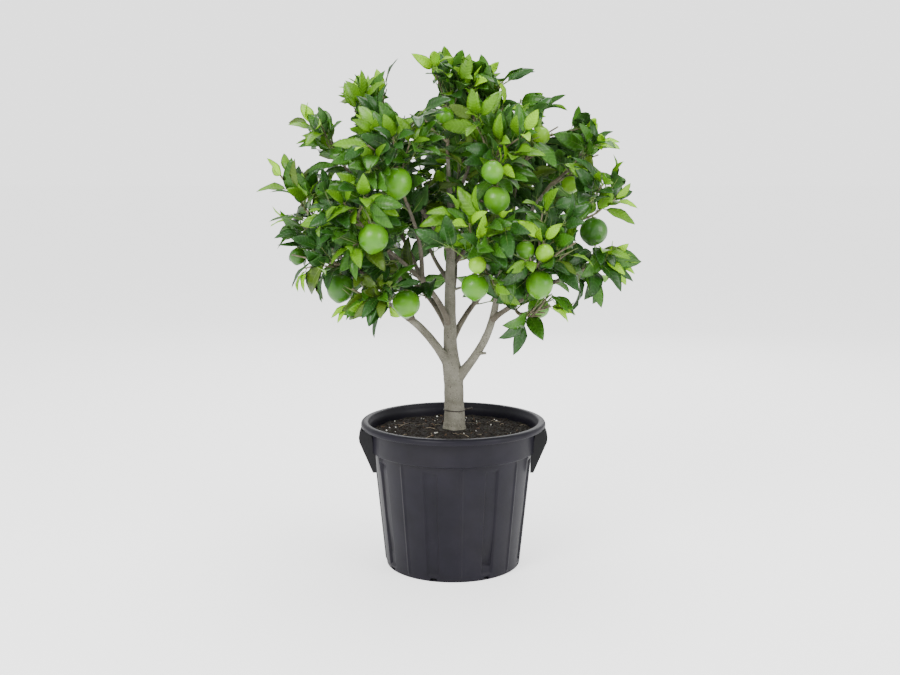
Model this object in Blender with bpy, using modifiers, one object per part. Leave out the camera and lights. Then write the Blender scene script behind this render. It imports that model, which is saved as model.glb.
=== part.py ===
"""A young Persian lime tree in a black nursery pot, at its real size, in metres.

The pot stands on the ground plane with its axis on Z. The tree has a trunk, boughs that leave it
and each other, and masses of foliage. Each mass is one solid: a stem that carries on from its
bough's tip, shoots that branch from it by a seeded rule, leaves and limes.
"""

import math
import random

import bmesh
import bpy
import numpy as np
from mathutils import Matrix, Vector
from mathutils.bvhtree import BVHTree

# The pot: a turned shell with a rolled rim, a collar, a tapered body and drained grooves.
POT_HEIGHT = 0.2535
RIM_RADIUS = 0.160
RIM_INNER_RADIUS = 0.1462
RIM_DEPTH = 0.0105
RIM_SWELL = 0.0042
COLLAR_RADIUS = 0.1446
COLLAR_FOOT = 0.2045
COLLAR_STEP = 0.004
BODY_TOP_RADIUS = 0.1365
BASE_RADIUS = 0.1168
WALL = 0.0032
FLOOR_THICKNESS = 0.005
POT_STEPS = 36
GROOVES = 8
FIRST_GROOVE_DEG = -61.5
GROOVE_WIDTH_DEG = 10.0
GROOVE_DEPTH = 0.0014
CUTTER_OVERHANG = 0.010
DRAIN_WIDTH_DEG = 5.5
DRAIN_HEIGHT = 0.006
DRAIN_REACH = 0.012

# The two handles: a pair of cheeks and a grip on each side of the collar.
HANDLE_OUTER_RADIUS = 0.1607
HANDLE_TOP = 0.2425
HANDLE_SHOULDER = 0.2235
HANDLE_FOOT = 0.170
HANDLE_FOOT_RADIUS = 0.1355
HANDLE_HALF_SPAN = 0.046
CHEEK_THICKNESS = 0.004
GRIP_THICKNESS = 0.0045
GRIP_DEPTH = 0.024

# The soil, heaped a little towards the trunk.
SOIL_EDGE_LEVEL = 0.2315
SOIL_LEVEL = 0.2375
SOIL_FLAT_RADIUS = 0.034

# The gap that touching pieces keep, and the wire round the foot of the trunk.
GAP = 0.0003
TIE_LEVEL = 0.271
TIE_RADIUS = 0.0178
TIE_WIRE = 0.0009

# The trunk, from its flat cut on the soil to its tip, as height above the ground, lean and radius.
TRUNK_PROFILE = (
    (SOIL_LEVEL + GAP, 0.0030, 0.0198),
    (0.2445, 0.0030, 0.0188),
    (0.256, 0.0027, 0.0180),
    (0.285, 0.0015, 0.0170),
    (0.325, 0.0005, 0.0165),
    (0.352, -0.0030, 0.0150),
    (0.385, -0.0050, 0.0118),
    (0.440, -0.0052, 0.0100),
    (0.500, -0.0050, 0.0088),
    (0.556, -0.0042, 0.0072),
    (0.600, -0.0045, 0.0056),
    (0.650, -0.0065, 0.0044),
    (0.700, -0.0090, 0.0032),
)
TRUNK_SIDES = 12
BOUGH_SIDES = 6
BOUGH_STEP = 0.042
TWIG_SIDES = 3
STEM_SIDES = 4

# Each bough: what it grows from, the height where it leaves it, its tip, how far its middle bows
# out of straight, and its radius at the foot and the tip. Left and right are as seen from -Y.
BOUGHS = {
    "right": ("trunk", 0.318, (0.152, 0.000, 0.640), (-0.002, -0.026, -0.006), 0.0086, 0.0033),
    "left": ("trunk", 0.342, (-0.190, -0.062, 0.545), (0.002, -0.012, 0.006), 0.0086, 0.0033),
    "left_inner": ("trunk", 0.415, (-0.104, -0.094, 0.552), (0.016, 0.004, 0.000), 0.0062, 0.0030),
    "upper_left": ("trunk", 0.547, (-0.100, -0.012, 0.690), (0.000, -0.006, -0.004), 0.0052, 0.0028),
    "front_right": ("trunk", 0.549, (0.050, -0.070, 0.640), (0.004, 0.006, -0.006), 0.0046, 0.0027),
    "centre_left": ("trunk", 0.492, (-0.046, 0.036, 0.566), (-0.006, 0.006, 0.000), 0.0044, 0.0027),
    "centre_right": ("trunk", 0.515, (0.046, 0.044, 0.590), (0.004, 0.006, 0.000), 0.0044, 0.0027),
    "top_right": ("trunk", 0.622, (0.034, 0.018, 0.716), (0.004, 0.002, -0.004), 0.0036, 0.0026),
    "back_left": ("trunk", 0.405, (-0.104, 0.090, 0.508), (0.010, -0.004, 0.008), 0.0062, 0.0030),
    "back_right": ("trunk", 0.385, (0.100, 0.094, 0.498), (-0.010, -0.004, 0.010), 0.0062, 0.0030),
    "back": ("trunk", 0.462, (0.004, 0.130, 0.552), (0.004, 0.000, -0.010), 0.0054, 0.0028),
    "back_high": ("trunk", 0.585, (0.010, 0.090, 0.676), (0.000, 0.000, -0.006), 0.0042, 0.0027),
    "right_low": ("right", 0.432, (0.180, -0.072, 0.506), (-0.002, -0.010, 0.004), 0.0050, 0.0029),
    "right_mid": ("right", 0.576, (0.184, -0.052, 0.588), (0.000, -0.006, -0.006), 0.0042, 0.0027),
    "right_top": ("right", 0.545, (0.116, 0.026, 0.680), (-0.006, 0.004, 0.004), 0.0042, 0.0027),
    "right_crest": ("right_top", 0.610, (0.088, 0.046, 0.716), (-0.004, 0.006, 0.000), 0.0034, 0.0026),
    "low_front": ("right", 0.470, (0.112, -0.120, 0.506), (0.000, -0.004, 0.008), 0.0044, 0.0027),
    "left_up": ("left", 0.432, (-0.148, -0.034, 0.634), (0.010, -0.004, -0.004), 0.0056, 0.0029),
    "left_low": ("left_up", 0.500, (-0.158, -0.088, 0.520), (0.000, -0.004, -0.004), 0.0042, 0.0027),
    "front_left": ("left_inner", 0.500, (-0.076, -0.106, 0.632), (0.008, 0.006, 0.000), 0.0042, 0.0027),
    "front": ("front_right", 0.577, (0.034, -0.128, 0.552), (0.004, -0.004, 0.010), 0.0038, 0.0026),
    "back_left_up": ("back_left", 0.462, (-0.112, 0.098, 0.606), (0.004, -0.008, 0.000), 0.0046, 0.0028),
    "back_right_up": ("back_right", 0.452, (0.116, 0.104, 0.600), (-0.004, -0.008, 0.000), 0.0046, 0.0028),
    "spur_left": ("left", 0.462, (-0.104, -0.092, 0.470), (0.000, -0.002, 0.003), 0.0036, 0.0025),
    "spur_right": ("right_low", 0.456, (0.104, -0.088, 0.452), (0.000, -0.002, 0.003), 0.0036, 0.0025),
}

# How far the two main boughs sway, first one way and then the other, as an S.
SWAY = {
    "right": (0.016, 0.000, 0.000),
    "left": (0.000, 0.000, 0.012),
}

# Each mass: the limb that carries it, its heart, the tip of its leading shoot, how far its leaves
# hang, its number of side shoots and its seed.
MASSES = {
    "right_high": ("right", (0.204, -0.014, 0.668), (0.244, -0.004, 0.708), 0.2, 5, 11),
    "right_mid": ("right_mid", (0.232, -0.062, 0.608), (0.266, -0.052, 0.634), 0.3, 4, 12),
    "right_low": ("right_low", (0.216, -0.085, 0.490), (0.262, -0.072, 0.530), 1.0, 5, 13),
    "right_top": ("right_top", (0.152, 0.016, 0.736), (0.178, 0.024, 0.756), 0.1, 4, 14),
    "right_crest": ("right_crest", (0.104, 0.050, 0.768), (0.122, 0.040, 0.794), 0.1, 4, 35),
    "right_hang": ("spur_right", (0.118, -0.112, 0.426), (0.142, -0.118, 0.448), 1.3, 5, 15),
    "front_right": ("low_front", (0.125, -0.166, 0.540), (0.138, -0.190, 0.575), 0.5, 4, 16),
    "front_high": ("front_right", (0.066, -0.120, 0.684), (0.074, -0.150, 0.724), 0.2, 5, 17),
    "front": ("front", (0.036, -0.180, 0.540), (0.036, -0.196, 0.575), 0.3, 4, 18),
    "left_mid": ("left", (-0.236, -0.062, 0.626), (-0.284, -0.054, 0.672), 0.2, 5, 19),
    "left_low": ("left_low", (-0.222, -0.088, 0.520), (-0.266, -0.068, 0.544), 0.7, 4, 20),
    "left_hang": ("spur_left", (-0.116, -0.120, 0.456), (-0.140, -0.128, 0.462), 1.3, 5, 21),
    "left_high": ("left_up", (-0.192, -0.022, 0.716), (-0.238, -0.020, 0.758), 0.1, 4, 22),
    "front_left_low": ("left_inner", (-0.140, -0.152, 0.592), (-0.168, -0.172, 0.630), 0.4, 4, 23),
    "front_left": ("front_left", (-0.082, -0.145, 0.684), (-0.092, -0.150, 0.732), 0.2, 5, 24),
    "upper_left": ("upper_left", (-0.134, -0.002, 0.758), (-0.156, 0.000, 0.804), 0.1, 5, 25),
    "centre_left": ("centre_left", (-0.070, 0.030, 0.604), (-0.080, 0.030, 0.640), 0.6, 5, 26),
    "centre_right": ("centre_right", (0.078, 0.040, 0.630), (0.082, 0.044, 0.668), 0.5, 5, 36),
    "top": ("trunk", (-0.022, -0.020, 0.780), (-0.012, 0.000, 0.842), 0.1, 5, 27),
    "top_right": ("top_right", (0.050, -0.014, 0.780), (0.052, 0.006, 0.828), 0.1, 5, 28),
    "back_left": ("back_left", (-0.150, 0.134, 0.526), (-0.190, 0.165, 0.545), 0.8, 4, 29),
    "back_right": ("back_right", (0.150, 0.134, 0.518), (0.188, 0.165, 0.535), 0.8, 4, 30),
    "back": ("back", (0.004, 0.190, 0.560), (0.004, 0.235, 0.585), 0.5, 4, 31),
    "back_high": ("back_high", (0.006, 0.140, 0.712), (0.000, 0.185, 0.752), 0.2, 4, 32),
    "back_left_up": ("back_left_up", (-0.142, 0.124, 0.668), (-0.178, 0.146, 0.715), 0.2, 4, 33),
    "back_right_up": ("back_right_up", (0.148, 0.130, 0.658), (0.185, 0.150, 0.705), 0.2, 4, 34),
}

# Each lime: the centre of the fruit and its diameter. It hangs in the mass that it is nearest to.
LIMES = (
    ((-0.087, -0.170, 0.662), 0.047),
    ((-0.123, -0.190, 0.578), 0.046),
    ((-0.183, -0.100, 0.492), 0.045),
    ((-0.076, -0.120, 0.469), 0.045),
    ((0.033, -0.190, 0.503), 0.042),
    ((0.067, -0.170, 0.636), 0.041),
    ((0.059, -0.200, 0.679), 0.034),
    ((0.231, -0.060, 0.582), 0.046),
    ((0.134, -0.170, 0.505), 0.043),
    ((0.140, -0.080, 0.458), 0.036),
    ((0.110, -0.190, 0.560), 0.029),
    ((0.139, -0.200, 0.556), 0.028),
    ((0.036, -0.210, 0.539), 0.027),
    ((-0.014, -0.030, 0.770), 0.030),
    ((0.196, -0.020, 0.658), 0.030),
    ((0.149, 0.020, 0.740), 0.031),
    ((-0.258, -0.050, 0.540), 0.028),
    ((-0.150, 0.160, 0.500), 0.044),
    ((0.160, 0.150, 0.490), 0.044),
    ((0.010, 0.215, 0.535), 0.045),
    ((0.010, 0.170, 0.690), 0.042),
    ((-0.165, 0.140, 0.645), 0.040),
    ((0.165, 0.150, 0.640), 0.043),
)

# The rule that shoots and leaves follow.
CROWN_HEART = Vector((0, 0, 0.50))
CROWN_CENTRE = Vector((0.0, -0.010, 0.600))
CROWN_RADIUS = 0.318
CROWN_DEPTH = 0.285
CROWN_RISE = 0.288
CROWN_DROP = 0.232
MASS_REACH = 0.135
SIDE_SHOOT_LENGTH = 0.082
SHOOT_TRIES = 14
SHOOT_LIFT = 0.21
SHOOT_RADIUS = 0.0019
SHOOT_TIP_RADIUS = 0.0013
STALK_RADIUS = 0.0014
GOLDEN_TURN = math.radians(137.5)
LEAF_TURN = math.radians(144)
LEAF_TRIES = 4
SHOOT_BOUND = 0.88
SIDE_LEAF_BOUND = 0.99
LEAF_BOUND = 1.06
FIRST_LEAF = 0.24
LEAF_SPACING = 0.0225
LEAF_LENGTH = 0.070
LEAF_WIDTH_SHARE = 0.54
LEAF_THICKNESS = 0.0018
LEAF_SINK = 0.0002
LEAF_ARCH = 0.07
BROADEST = 0.44
TIP_LEAVES = 2
TIP_LEAF_LENGTH = 0.044
CLEARANCE = 0.0008
UP = Vector((0, 0, 1))


def clear_scene():
    for obj in list(bpy.data.objects):
        bpy.data.objects.remove(obj, do_unlink=True)


def new_collection(name, shown=True):
    made = bpy.data.collections.new(name)
    bpy.context.scene.collection.children.link(made)
    made.hide_render = not shown
    return made


def finish(name, colour, roughness):
    """A plain Principled material of this colour."""
    made = bpy.data.materials.new(name)
    made.use_nodes = True
    shader = made.node_tree.nodes["Principled BSDF"]
    shader.inputs["Base Color"].default_value = (*colour, 1)
    shader.inputs["Roughness"].default_value = roughness
    shader.inputs["Metallic"].default_value = 0.0
    return made


def place(name, mesh, collection):
    obj = bpy.data.objects.new(name, mesh)
    collection.objects.link(obj)
    return obj


def dress(obj, material, smooth_under=40):
    """The object's one material, and smooth shading except along sharp edges."""
    obj.data.materials.clear()
    obj.data.materials.append(material)
    obj.data.shade_smooth()
    obj.data.set_sharp_from_angle(angle=math.radians(smooth_under))


def evaluated_mesh(obj):
    bpy.context.view_layer.update()
    graph = bpy.context.evaluated_depsgraph_get()
    return bpy.data.meshes.new_from_object(obj.evaluated_get(graph))


def applied(obj):
    """The object with its modifiers made part of its mesh."""
    mesh = evaluated_mesh(obj)
    obj.modifiers.clear()
    old = obj.data
    obj.data = mesh
    bpy.data.meshes.remove(old)
    return obj


def boolean(obj, operation, cutter=None, collection=None):
    modifier = obj.modifiers.new(operation.title(), "BOOLEAN")
    modifier.operation = operation
    modifier.solver = "EXACT"
    if collection:
        modifier.operand_type = "COLLECTION"
        modifier.collection = collection
    else:
        modifier.object = cutter
    return modifier


# Turned and swept shapes.
def turned(name, outline, collection):
    """A profile of (radius, height) points that starts and ends on Z, spun round it."""
    mesh = bpy.data.meshes.new(name)
    points = [(radius, 0, height) for radius, height in outline]
    mesh.from_pydata(points, [(i, i + 1) for i in range(len(points) - 1)], [])
    obj = place(name, mesh, collection)
    screw = obj.modifiers.new("Turn", "SCREW")
    screw.steps = POT_STEPS
    screw.render_steps = POT_STEPS
    screw.use_merge_vertices = True
    screw.merge_threshold = 1e-5
    return applied(obj)


def ring_profile(sides, collection):
    """A closed flat ring of radius 1 that sweeps a tube."""
    data = bpy.data.curves.new(f"ring_{sides}", "CURVE")
    data.dimensions = "2D"
    data.fill_mode = "NONE"
    spline = data.splines.new("POLY")
    spline.points.add(sides - 1)
    for i, point in enumerate(spline.points):
        turn = 2 * math.pi * i / sides
        point.co = (math.cos(turn), math.sin(turn), 0, 1)
    spline.use_cyclic_u = True
    ring = bpy.data.objects.new(f"ring_{sides}", data)
    ring.hide_render = True
    collection.objects.link(ring)
    return ring


def swept(name, points, radii, ring, collection):
    """A curve through the points, swept by the ring to its radius at each, with filled ends."""
    data = bpy.data.curves.new(name, "CURVE")
    data.dimensions = "3D"
    data.bevel_mode = "OBJECT"
    data.bevel_object = ring
    data.use_fill_caps = True
    spline = data.splines.new("POLY")
    spline.points.add(len(points) - 1)
    for point, place_at, radius in zip(spline.points, points, radii):
        point.co = (*place_at, 1)
        point.radius = radius
    obj = bpy.data.objects.new(name, data)
    collection.objects.link(obj)
    return obj


def as_meshes(curves):
    """Each curve replaced by a mesh object of its name, closed, facing out, in world space."""
    bpy.context.view_layer.update()
    graph = bpy.context.evaluated_depsgraph_get()
    made = []
    for curve in curves:
        mesh = bpy.data.meshes.new_from_object(curve.evaluated_get(graph))
        mesh.transform(curve.matrix_world)
        name = curve.name
        home = curve.users_collection[0]
        bpy.data.objects.remove(curve, do_unlink=True)
        work = bmesh.new()
        work.from_mesh(mesh)
        bmesh.ops.remove_doubles(work, verts=work.verts, dist=1e-7)
        bmesh.ops.recalc_face_normals(work, faces=work.faces)
        work.to_mesh(mesh)
        work.free()
        made.append(place(name, mesh, home))
    return made


# The pot.
def body_radius(height):
    """The pot's outer radius below the collar."""
    return BASE_RADIUS + (BODY_TOP_RADIUS - BASE_RADIUS) * height / (COLLAR_FOOT - COLLAR_STEP)


def pot_outline():
    """The pot's section from the floor's centre, up the inside, over the rim and down the outside."""
    body_top = COLLAR_FOOT - COLLAR_STEP
    rim_middle = (RIM_RADIUS + RIM_INNER_RADIUS) / 2
    inside = [
        (0, FLOOR_THICKNESS),
        (body_radius(FLOOR_THICKNESS) - WALL, FLOOR_THICKNESS),
        (body_radius(body_top) - WALL, body_top),
        (COLLAR_RADIUS - WALL, COLLAR_FOOT + WALL / 2),
        (RIM_INNER_RADIUS - RIM_SWELL, POT_HEIGHT - RIM_DEPTH),
        (RIM_INNER_RADIUS, POT_HEIGHT - 0.0035),
        (rim_middle - 0.0025, POT_HEIGHT),
    ]
    outside = [
        (rim_middle + 0.0020, POT_HEIGHT),
        (RIM_RADIUS - 0.0008, POT_HEIGHT - 0.0030),
        (RIM_RADIUS, POT_HEIGHT - 0.0065),
        (RIM_RADIUS - 0.0018, POT_HEIGHT - RIM_DEPTH),
        (COLLAR_RADIUS + 0.0006, POT_HEIGHT - RIM_DEPTH),
        (COLLAR_RADIUS - 0.0006, COLLAR_FOOT),
        (BODY_TOP_RADIUS, body_top),
        (BASE_RADIUS, 0),
        (0, 0),
    ]
    return inside + outside


def wedge(name, angle_deg, width_deg, low, high, depth, collection):
    """A block that stands in the pot's wall, follows its slope and cuts to this depth."""
    mesh = bpy.data.meshes.new(name)
    work = bmesh.new()
    bmesh.ops.create_cube(work, size=2.0)
    middle = math.radians(angle_deg)
    half = math.radians(width_deg) / 2
    for vertex in work.verts:
        x, y, z = vertex.co
        height = high if z > 0 else low
        radius = body_radius(height) + (CUTTER_OVERHANG if x > 0 else -depth)
        angle = middle + (half if y > 0 else -half)
        vertex.co = (radius * math.cos(angle), radius * math.sin(angle), height)
    bmesh.ops.recalc_face_normals(work, faces=work.faces)
    work.to_mesh(mesh)
    work.free()
    return place(name, mesh, collection)


def make_pot(parts, material):
    pot = turned("pot", pot_outline(), parts)
    cuts = new_collection("pot_cuts", shown=False)
    groove_foot, groove_top = DRAIN_HEIGHT * 1.5, COLLAR_FOOT - 0.012
    for i in range(GROOVES):
        angle = FIRST_GROOVE_DEG + 360 * i / GROOVES
        wedge(f"groove_{i}", angle, GROOVE_WIDTH_DEG, groove_foot, groove_top, GROOVE_DEPTH, cuts)
        wedge(f"drain_{i}", angle, DRAIN_WIDTH_DEG, -0.002, DRAIN_HEIGHT, DRAIN_REACH, cuts)
    boolean(pot, "DIFFERENCE", collection=cuts)
    applied(pot)
    drop_collection(cuts)
    dress(pot, material)
    return pot


def cheek_outline():
    """A cheek's outline across the pot: along the top, down the outer edge and back in the wall."""
    return (
        (COLLAR_RADIUS - 0.004, HANDLE_TOP),
        (HANDLE_OUTER_RADIUS - 0.0015, HANDLE_TOP),
        (HANDLE_OUTER_RADIUS, HANDLE_SHOULDER + 0.008),
        (HANDLE_OUTER_RADIUS - 0.0008, HANDLE_SHOULDER),
        (HANDLE_FOOT_RADIUS + 0.0015, HANDLE_FOOT),
        (HANDLE_FOOT_RADIUS - 0.004, HANDLE_FOOT),
        (BODY_TOP_RADIUS - 0.004, COLLAR_FOOT - COLLAR_STEP),
    )


def grip_outline():
    """The grip's outline: a strip that hangs from the top and follows the cheeks' outer edge."""
    lip = HANDLE_OUTER_RADIUS - 0.0015
    shoulder = HANDLE_OUTER_RADIUS - 0.0008
    hem = HANDLE_OUTER_RADIUS - 0.0026
    low = HANDLE_TOP - GRIP_DEPTH
    return (
        (lip - GRIP_THICKNESS, HANDLE_TOP),
        (lip, HANDLE_TOP),
        (HANDLE_OUTER_RADIUS, HANDLE_SHOULDER + 0.008),
        (shoulder, HANDLE_SHOULDER),
        (hem, low),
        (hem - GRIP_THICKNESS, low),
        (shoulder - GRIP_THICKNESS, HANDLE_SHOULDER),
    )


def plate(name, outline, half_thickness, middle, side, collection):
    """A flat outline of (radius, height) points, stood across the pot at Y = middle."""
    data = bpy.data.curves.new(name, "CURVE")
    data.dimensions = "2D"
    data.fill_mode = "BOTH"
    data.extrude = half_thickness
    spline = data.splines.new("POLY")
    spline.points.add(len(outline) - 1)
    for point, (radius, height) in zip(spline.points, outline):
        point.co = (side * radius, height, 0, 1)
    spline.use_cyclic_u = True
    obj = bpy.data.objects.new(name, data)
    obj.matrix_world = Matrix.Translation((0, middle, 0)) @ Matrix.Rotation(math.pi / 2, 4, "X")
    collection.objects.link(obj)
    return obj


def make_handle(name, side, parts, cutters, pot_body, material):
    """Two cheeks joined by a grip, with their inner edges cut to the pot's wall."""
    middle = HANDLE_HALF_SPAN - CHEEK_THICKNESS / 2
    curves = [
        plate(f"{name}_cheek_{end}", cheek_outline(), CHEEK_THICKNESS / 2, end * middle, side, cutters)
        for end in (-1, 1)
    ]
    curves.append(plate(f"{name}_grip", grip_outline(), middle, 0, side, cutters))
    handle, *others = as_meshes(curves)
    joined = new_collection(f"{name}_joined", shown=False)
    for piece in others:
        cutters.objects.unlink(piece)
        joined.objects.link(piece)
    boolean(handle, "UNION", collection=joined)
    applied(handle)
    boolean(handle, "DIFFERENCE", cutter=pot_body)
    applied(handle)
    drop_collection(joined)
    cutters.objects.unlink(handle)
    parts.objects.link(handle)
    handle.name = name
    dress(handle, material)
    return handle


def drop_collection(collection):
    for obj in list(collection.objects):
        bpy.data.objects.remove(obj, do_unlink=True)
    bpy.data.collections.remove(collection)


def pot_body_cutter(cutters):
    """The pot's outer shape with the joint's gap all round, as one solid."""
    outline = [
        (0, POT_HEIGHT + 0.01),
        (RIM_RADIUS + GAP, POT_HEIGHT + 0.01),
        (RIM_RADIUS + GAP, POT_HEIGHT - RIM_DEPTH - GAP),
        (COLLAR_RADIUS + 0.0006 + GAP, POT_HEIGHT - RIM_DEPTH - GAP),
        (COLLAR_RADIUS - 0.0006 + GAP, COLLAR_FOOT - GAP),
        (BODY_TOP_RADIUS + GAP, COLLAR_FOOT - COLLAR_STEP - GAP),
        (BASE_RADIUS + GAP, -0.01),
        (0, -0.01),
    ]
    return turned("pot_outer", outline, cutters)


def inner_radius(height):
    """The inside of the collar at a height."""
    low, high = COLLAR_FOOT + WALL / 2, POT_HEIGHT - RIM_DEPTH
    share = (height - low) / (high - low)
    return (COLLAR_RADIUS - WALL) * (1 - share) + (RIM_INNER_RADIUS - RIM_SWELL) * share


def make_soil(parts, material):
    """The soil fills the pot to its collar, with the joint's gap to the wall and the floor."""
    floor = FLOOR_THICKNESS + GAP
    edge = inner_radius(SOIL_EDGE_LEVEL)
    outline = [
        (0, SOIL_LEVEL),
        (SOIL_FLAT_RADIUS, SOIL_LEVEL),
        (edge * 0.78, SOIL_EDGE_LEVEL - 0.0012),
        (edge - GAP, SOIL_EDGE_LEVEL),
        (body_radius(COLLAR_FOOT - COLLAR_STEP) - WALL - GAP, COLLAR_FOOT - COLLAR_STEP),
        (body_radius(FLOOR_THICKNESS) - WALL - GAP, floor),
        (0, floor),
    ]
    soil = turned("soil", outline, parts)
    dress(soil, material)
    return soil


# The limbs.
def on_curve(curve, u):
    start, control, end = curve
    return start * (1 - u) ** 2 + control * (2 * u * (1 - u)) + end * u * u


def along_curve(curve, u):
    start, control, end = curve
    return ((control - start) * (1 - u) + (end - control) * u).normalized()


def limb_at_height(limb, height):
    """The point of a limb's centre line at this height."""
    points = limb["points"]
    for low, high in zip(points, points[1:]):
        if low.z <= height <= high.z:
            return low.lerp(high, (height - low.z) / (high.z - low.z))
    raise ValueError(f"the limb doesn't pass {height}")


def lay_out_limbs():
    """The centre line and the radii of the trunk and of every bough."""
    limbs = {
        "trunk": {
            "points": [Vector((lean, 0, height)) for height, lean, _ in TRUNK_PROFILE],
            "radii": [radius for _, _, radius in TRUNK_PROFILE],
            "sides": TRUNK_SIDES,
            "parent": None,
        }
    }
    for name, (parent, height, tip, bow, foot_radius, tip_radius) in BOUGHS.items():
        start = limb_at_height(limbs[parent], height)
        tip, bow, sway = Vector(tip), Vector(bow), Vector(SWAY.get(name, (0, 0, 0)))
        steps = max(4, round((tip - start).length / BOUGH_STEP))
        shares = [i / steps for i in range(steps + 1)]
        limbs[name] = {
            "points": [
                start.lerp(tip, u) + bow * math.sin(math.pi * u) + sway * math.sin(2 * math.pi * u)
                for u in shares
            ],
            "radii": [foot_radius + (tip_radius - foot_radius) * u**0.75 for u in shares],
            "sides": BOUGH_SIDES,
            "parent": parent,
        }
    return limbs


def limb_cloud(limbs, spacing=0.003):
    """Points along every limb's centre line, with the limb's radius at each."""
    points, radii = [], []
    for limb in limbs.values():
        ends = zip(limb["points"], limb["points"][1:], limb["radii"], limb["radii"][1:])
        for a, b, radius_a, radius_b in ends:
            steps = max(1, round((b - a).length / spacing))
            for i in range(steps + 1):
                points.append(a.lerp(b, i / steps))
                radii.append(radius_a + (radius_b - radius_a) * i / steps)
    return np.array(points), np.array(radii)


# The growth rule.
def crown_share(point):
    """How far out a point lies in the crown's rounded outline, which is 1 on its surface."""
    x, y, z = point - CROWN_CENTRE
    height = CROWN_RISE if z > 0 else CROWN_DROP
    return math.sqrt((x / CROWN_RADIUS) ** 2 + (y / CROWN_DEPTH) ** 2 + (z / height) ** 2)


def in_cell(heart, others, point, margin):
    """Whether a point keeps to the side of its own heart, this far from every other's."""
    for other in others:
        across = other - heart
        if (point - (heart + other) / 2).dot(across) / across.length > -margin:
            return False
    return (point - heart).length < MASS_REACH - margin


def leaf_side(direction, normal):
    return direction.cross(normal).normalized()


def leaf_points(leaf):
    """The root, the tip, the two sides and the keel of a leaf."""
    base, direction, normal, length, width = leaf
    side = leaf_side(direction, normal)
    crest = base + direction * length * BROADEST + normal * length * LEAF_ARCH
    return (
        base - direction * LEAF_SINK,
        base + direction * length,
        crest + side * width / 2,
        crest - side * width / 2,
        crest - normal * LEAF_THICKNESS,
    )


def leaf_meets(leaf, points, radii):
    """Whether any of these balls comes nearer to a leaf than the clearance."""
    base, direction, normal, length, width = leaf
    local = points - np.array(base)
    share = local @ np.array(direction) / length
    across = np.abs(local @ np.array(leaf_side(direction, normal)))
    over = local @ np.array(normal)
    room = radii + CLEARANCE
    rising = np.clip(share / BROADEST, 0, 1)
    falling = np.clip((1 - share) / (1 - BROADEST), 0, 1)
    swell = np.minimum(rising, falling)
    beside = across < width / 2 * swell + room
    level = np.abs(over - length * LEAF_ARCH * swell) < LEAF_THICKNESS + room
    return bool((beside & level & (share > -room / length) & (share < 1 + room / length)).any())


def leaf_tree(leaf):
    """A leaf's two upper faces, held a little apart from the shoot, to test what it crosses."""
    root, tip, left, right, _ = leaf_points(leaf)
    near = root.lerp((left + right) / 2, 0.15)
    return BVHTree.FromPolygons([near, left, right, tip], [(0, 1, 2), (3, 2, 1)])


def leaf_is_free(leaf, space):
    """Whether a leaf stays in its mass's space, off every limb and lime, and off other leaves."""
    corners = leaf_points(leaf)[1:]
    if crown_share(corners[0]) > space["bound"]:
        return False
    if not all(in_cell(space["heart"], space["others"], corner, GAP) for corner in corners):
        return False
    if any(leaf_meets(leaf, points, radii) for points, radii in space["clouds"]):
        return False
    tree = leaf_tree(leaf)
    if any(tree.overlap(other) for other in space["trees"]):
        return False
    space["trees"].append(tree)
    return True


def cloud_of(curve, radius, spacing=0.003):
    """Points along a curve with one radius, past the stretch by its root."""
    steps = max(2, round((curve[2] - curve[0]).length / spacing))
    points = np.array([on_curve(curve, 0.08 + 0.92 * i / steps) for i in range(steps + 1)])
    return points, np.full(len(points), radius)


def twig_is_free(curve, radius, space, skip):
    """Whether a shoot keeps to its space, clear of limbs and limes, past its first stretch."""
    for i in range(1, 9):
        point = on_curve(curve, i / 8)
        if not in_cell(space["heart"], space["others"], point, radius + GAP):
            return False
        if (point - curve[0]).length < skip:
            continue
        for points, radii in space["clouds"]:
            if (np.linalg.norm(points - np.array(point), axis=1) - radii).min() < radius + CLEARANCE:
                return False
    return True


def any_side(direction, turn):
    """A unit vector square to a direction, turned about it."""
    first = direction.cross(Vector((0.3, 1.0, 0.1))).normalized()
    return Matrix.Rotation(turn, 3, direction) @ first


def leaf_at(curve, u, around, opening, size, droop, rng):
    """A leaf that leaves a shoot at u, opens from it by an angle and hangs by droop."""
    axis = along_curve(curve, u)
    out = any_side(axis, around)
    direction = axis * math.cos(opening) + out * math.sin(opening)
    direction = (direction - UP * droop).normalized()
    outward = (on_curve(curve, u) - CROWN_HEART).normalized()
    facing = axis * 0.25 + UP * 0.35 + outward * 0.75
    facing = facing + Vector([rng.uniform(-0.4, 0.4) for _ in range(3)])
    normal = facing - direction * facing.dot(direction)
    if normal.length < 0.2:
        normal = direction.orthogonal()
    width = size * LEAF_WIDTH_SHARE * rng.uniform(0.88, 1.08)
    return on_curve(curve, u), direction, normal.normalized(), size, width


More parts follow.
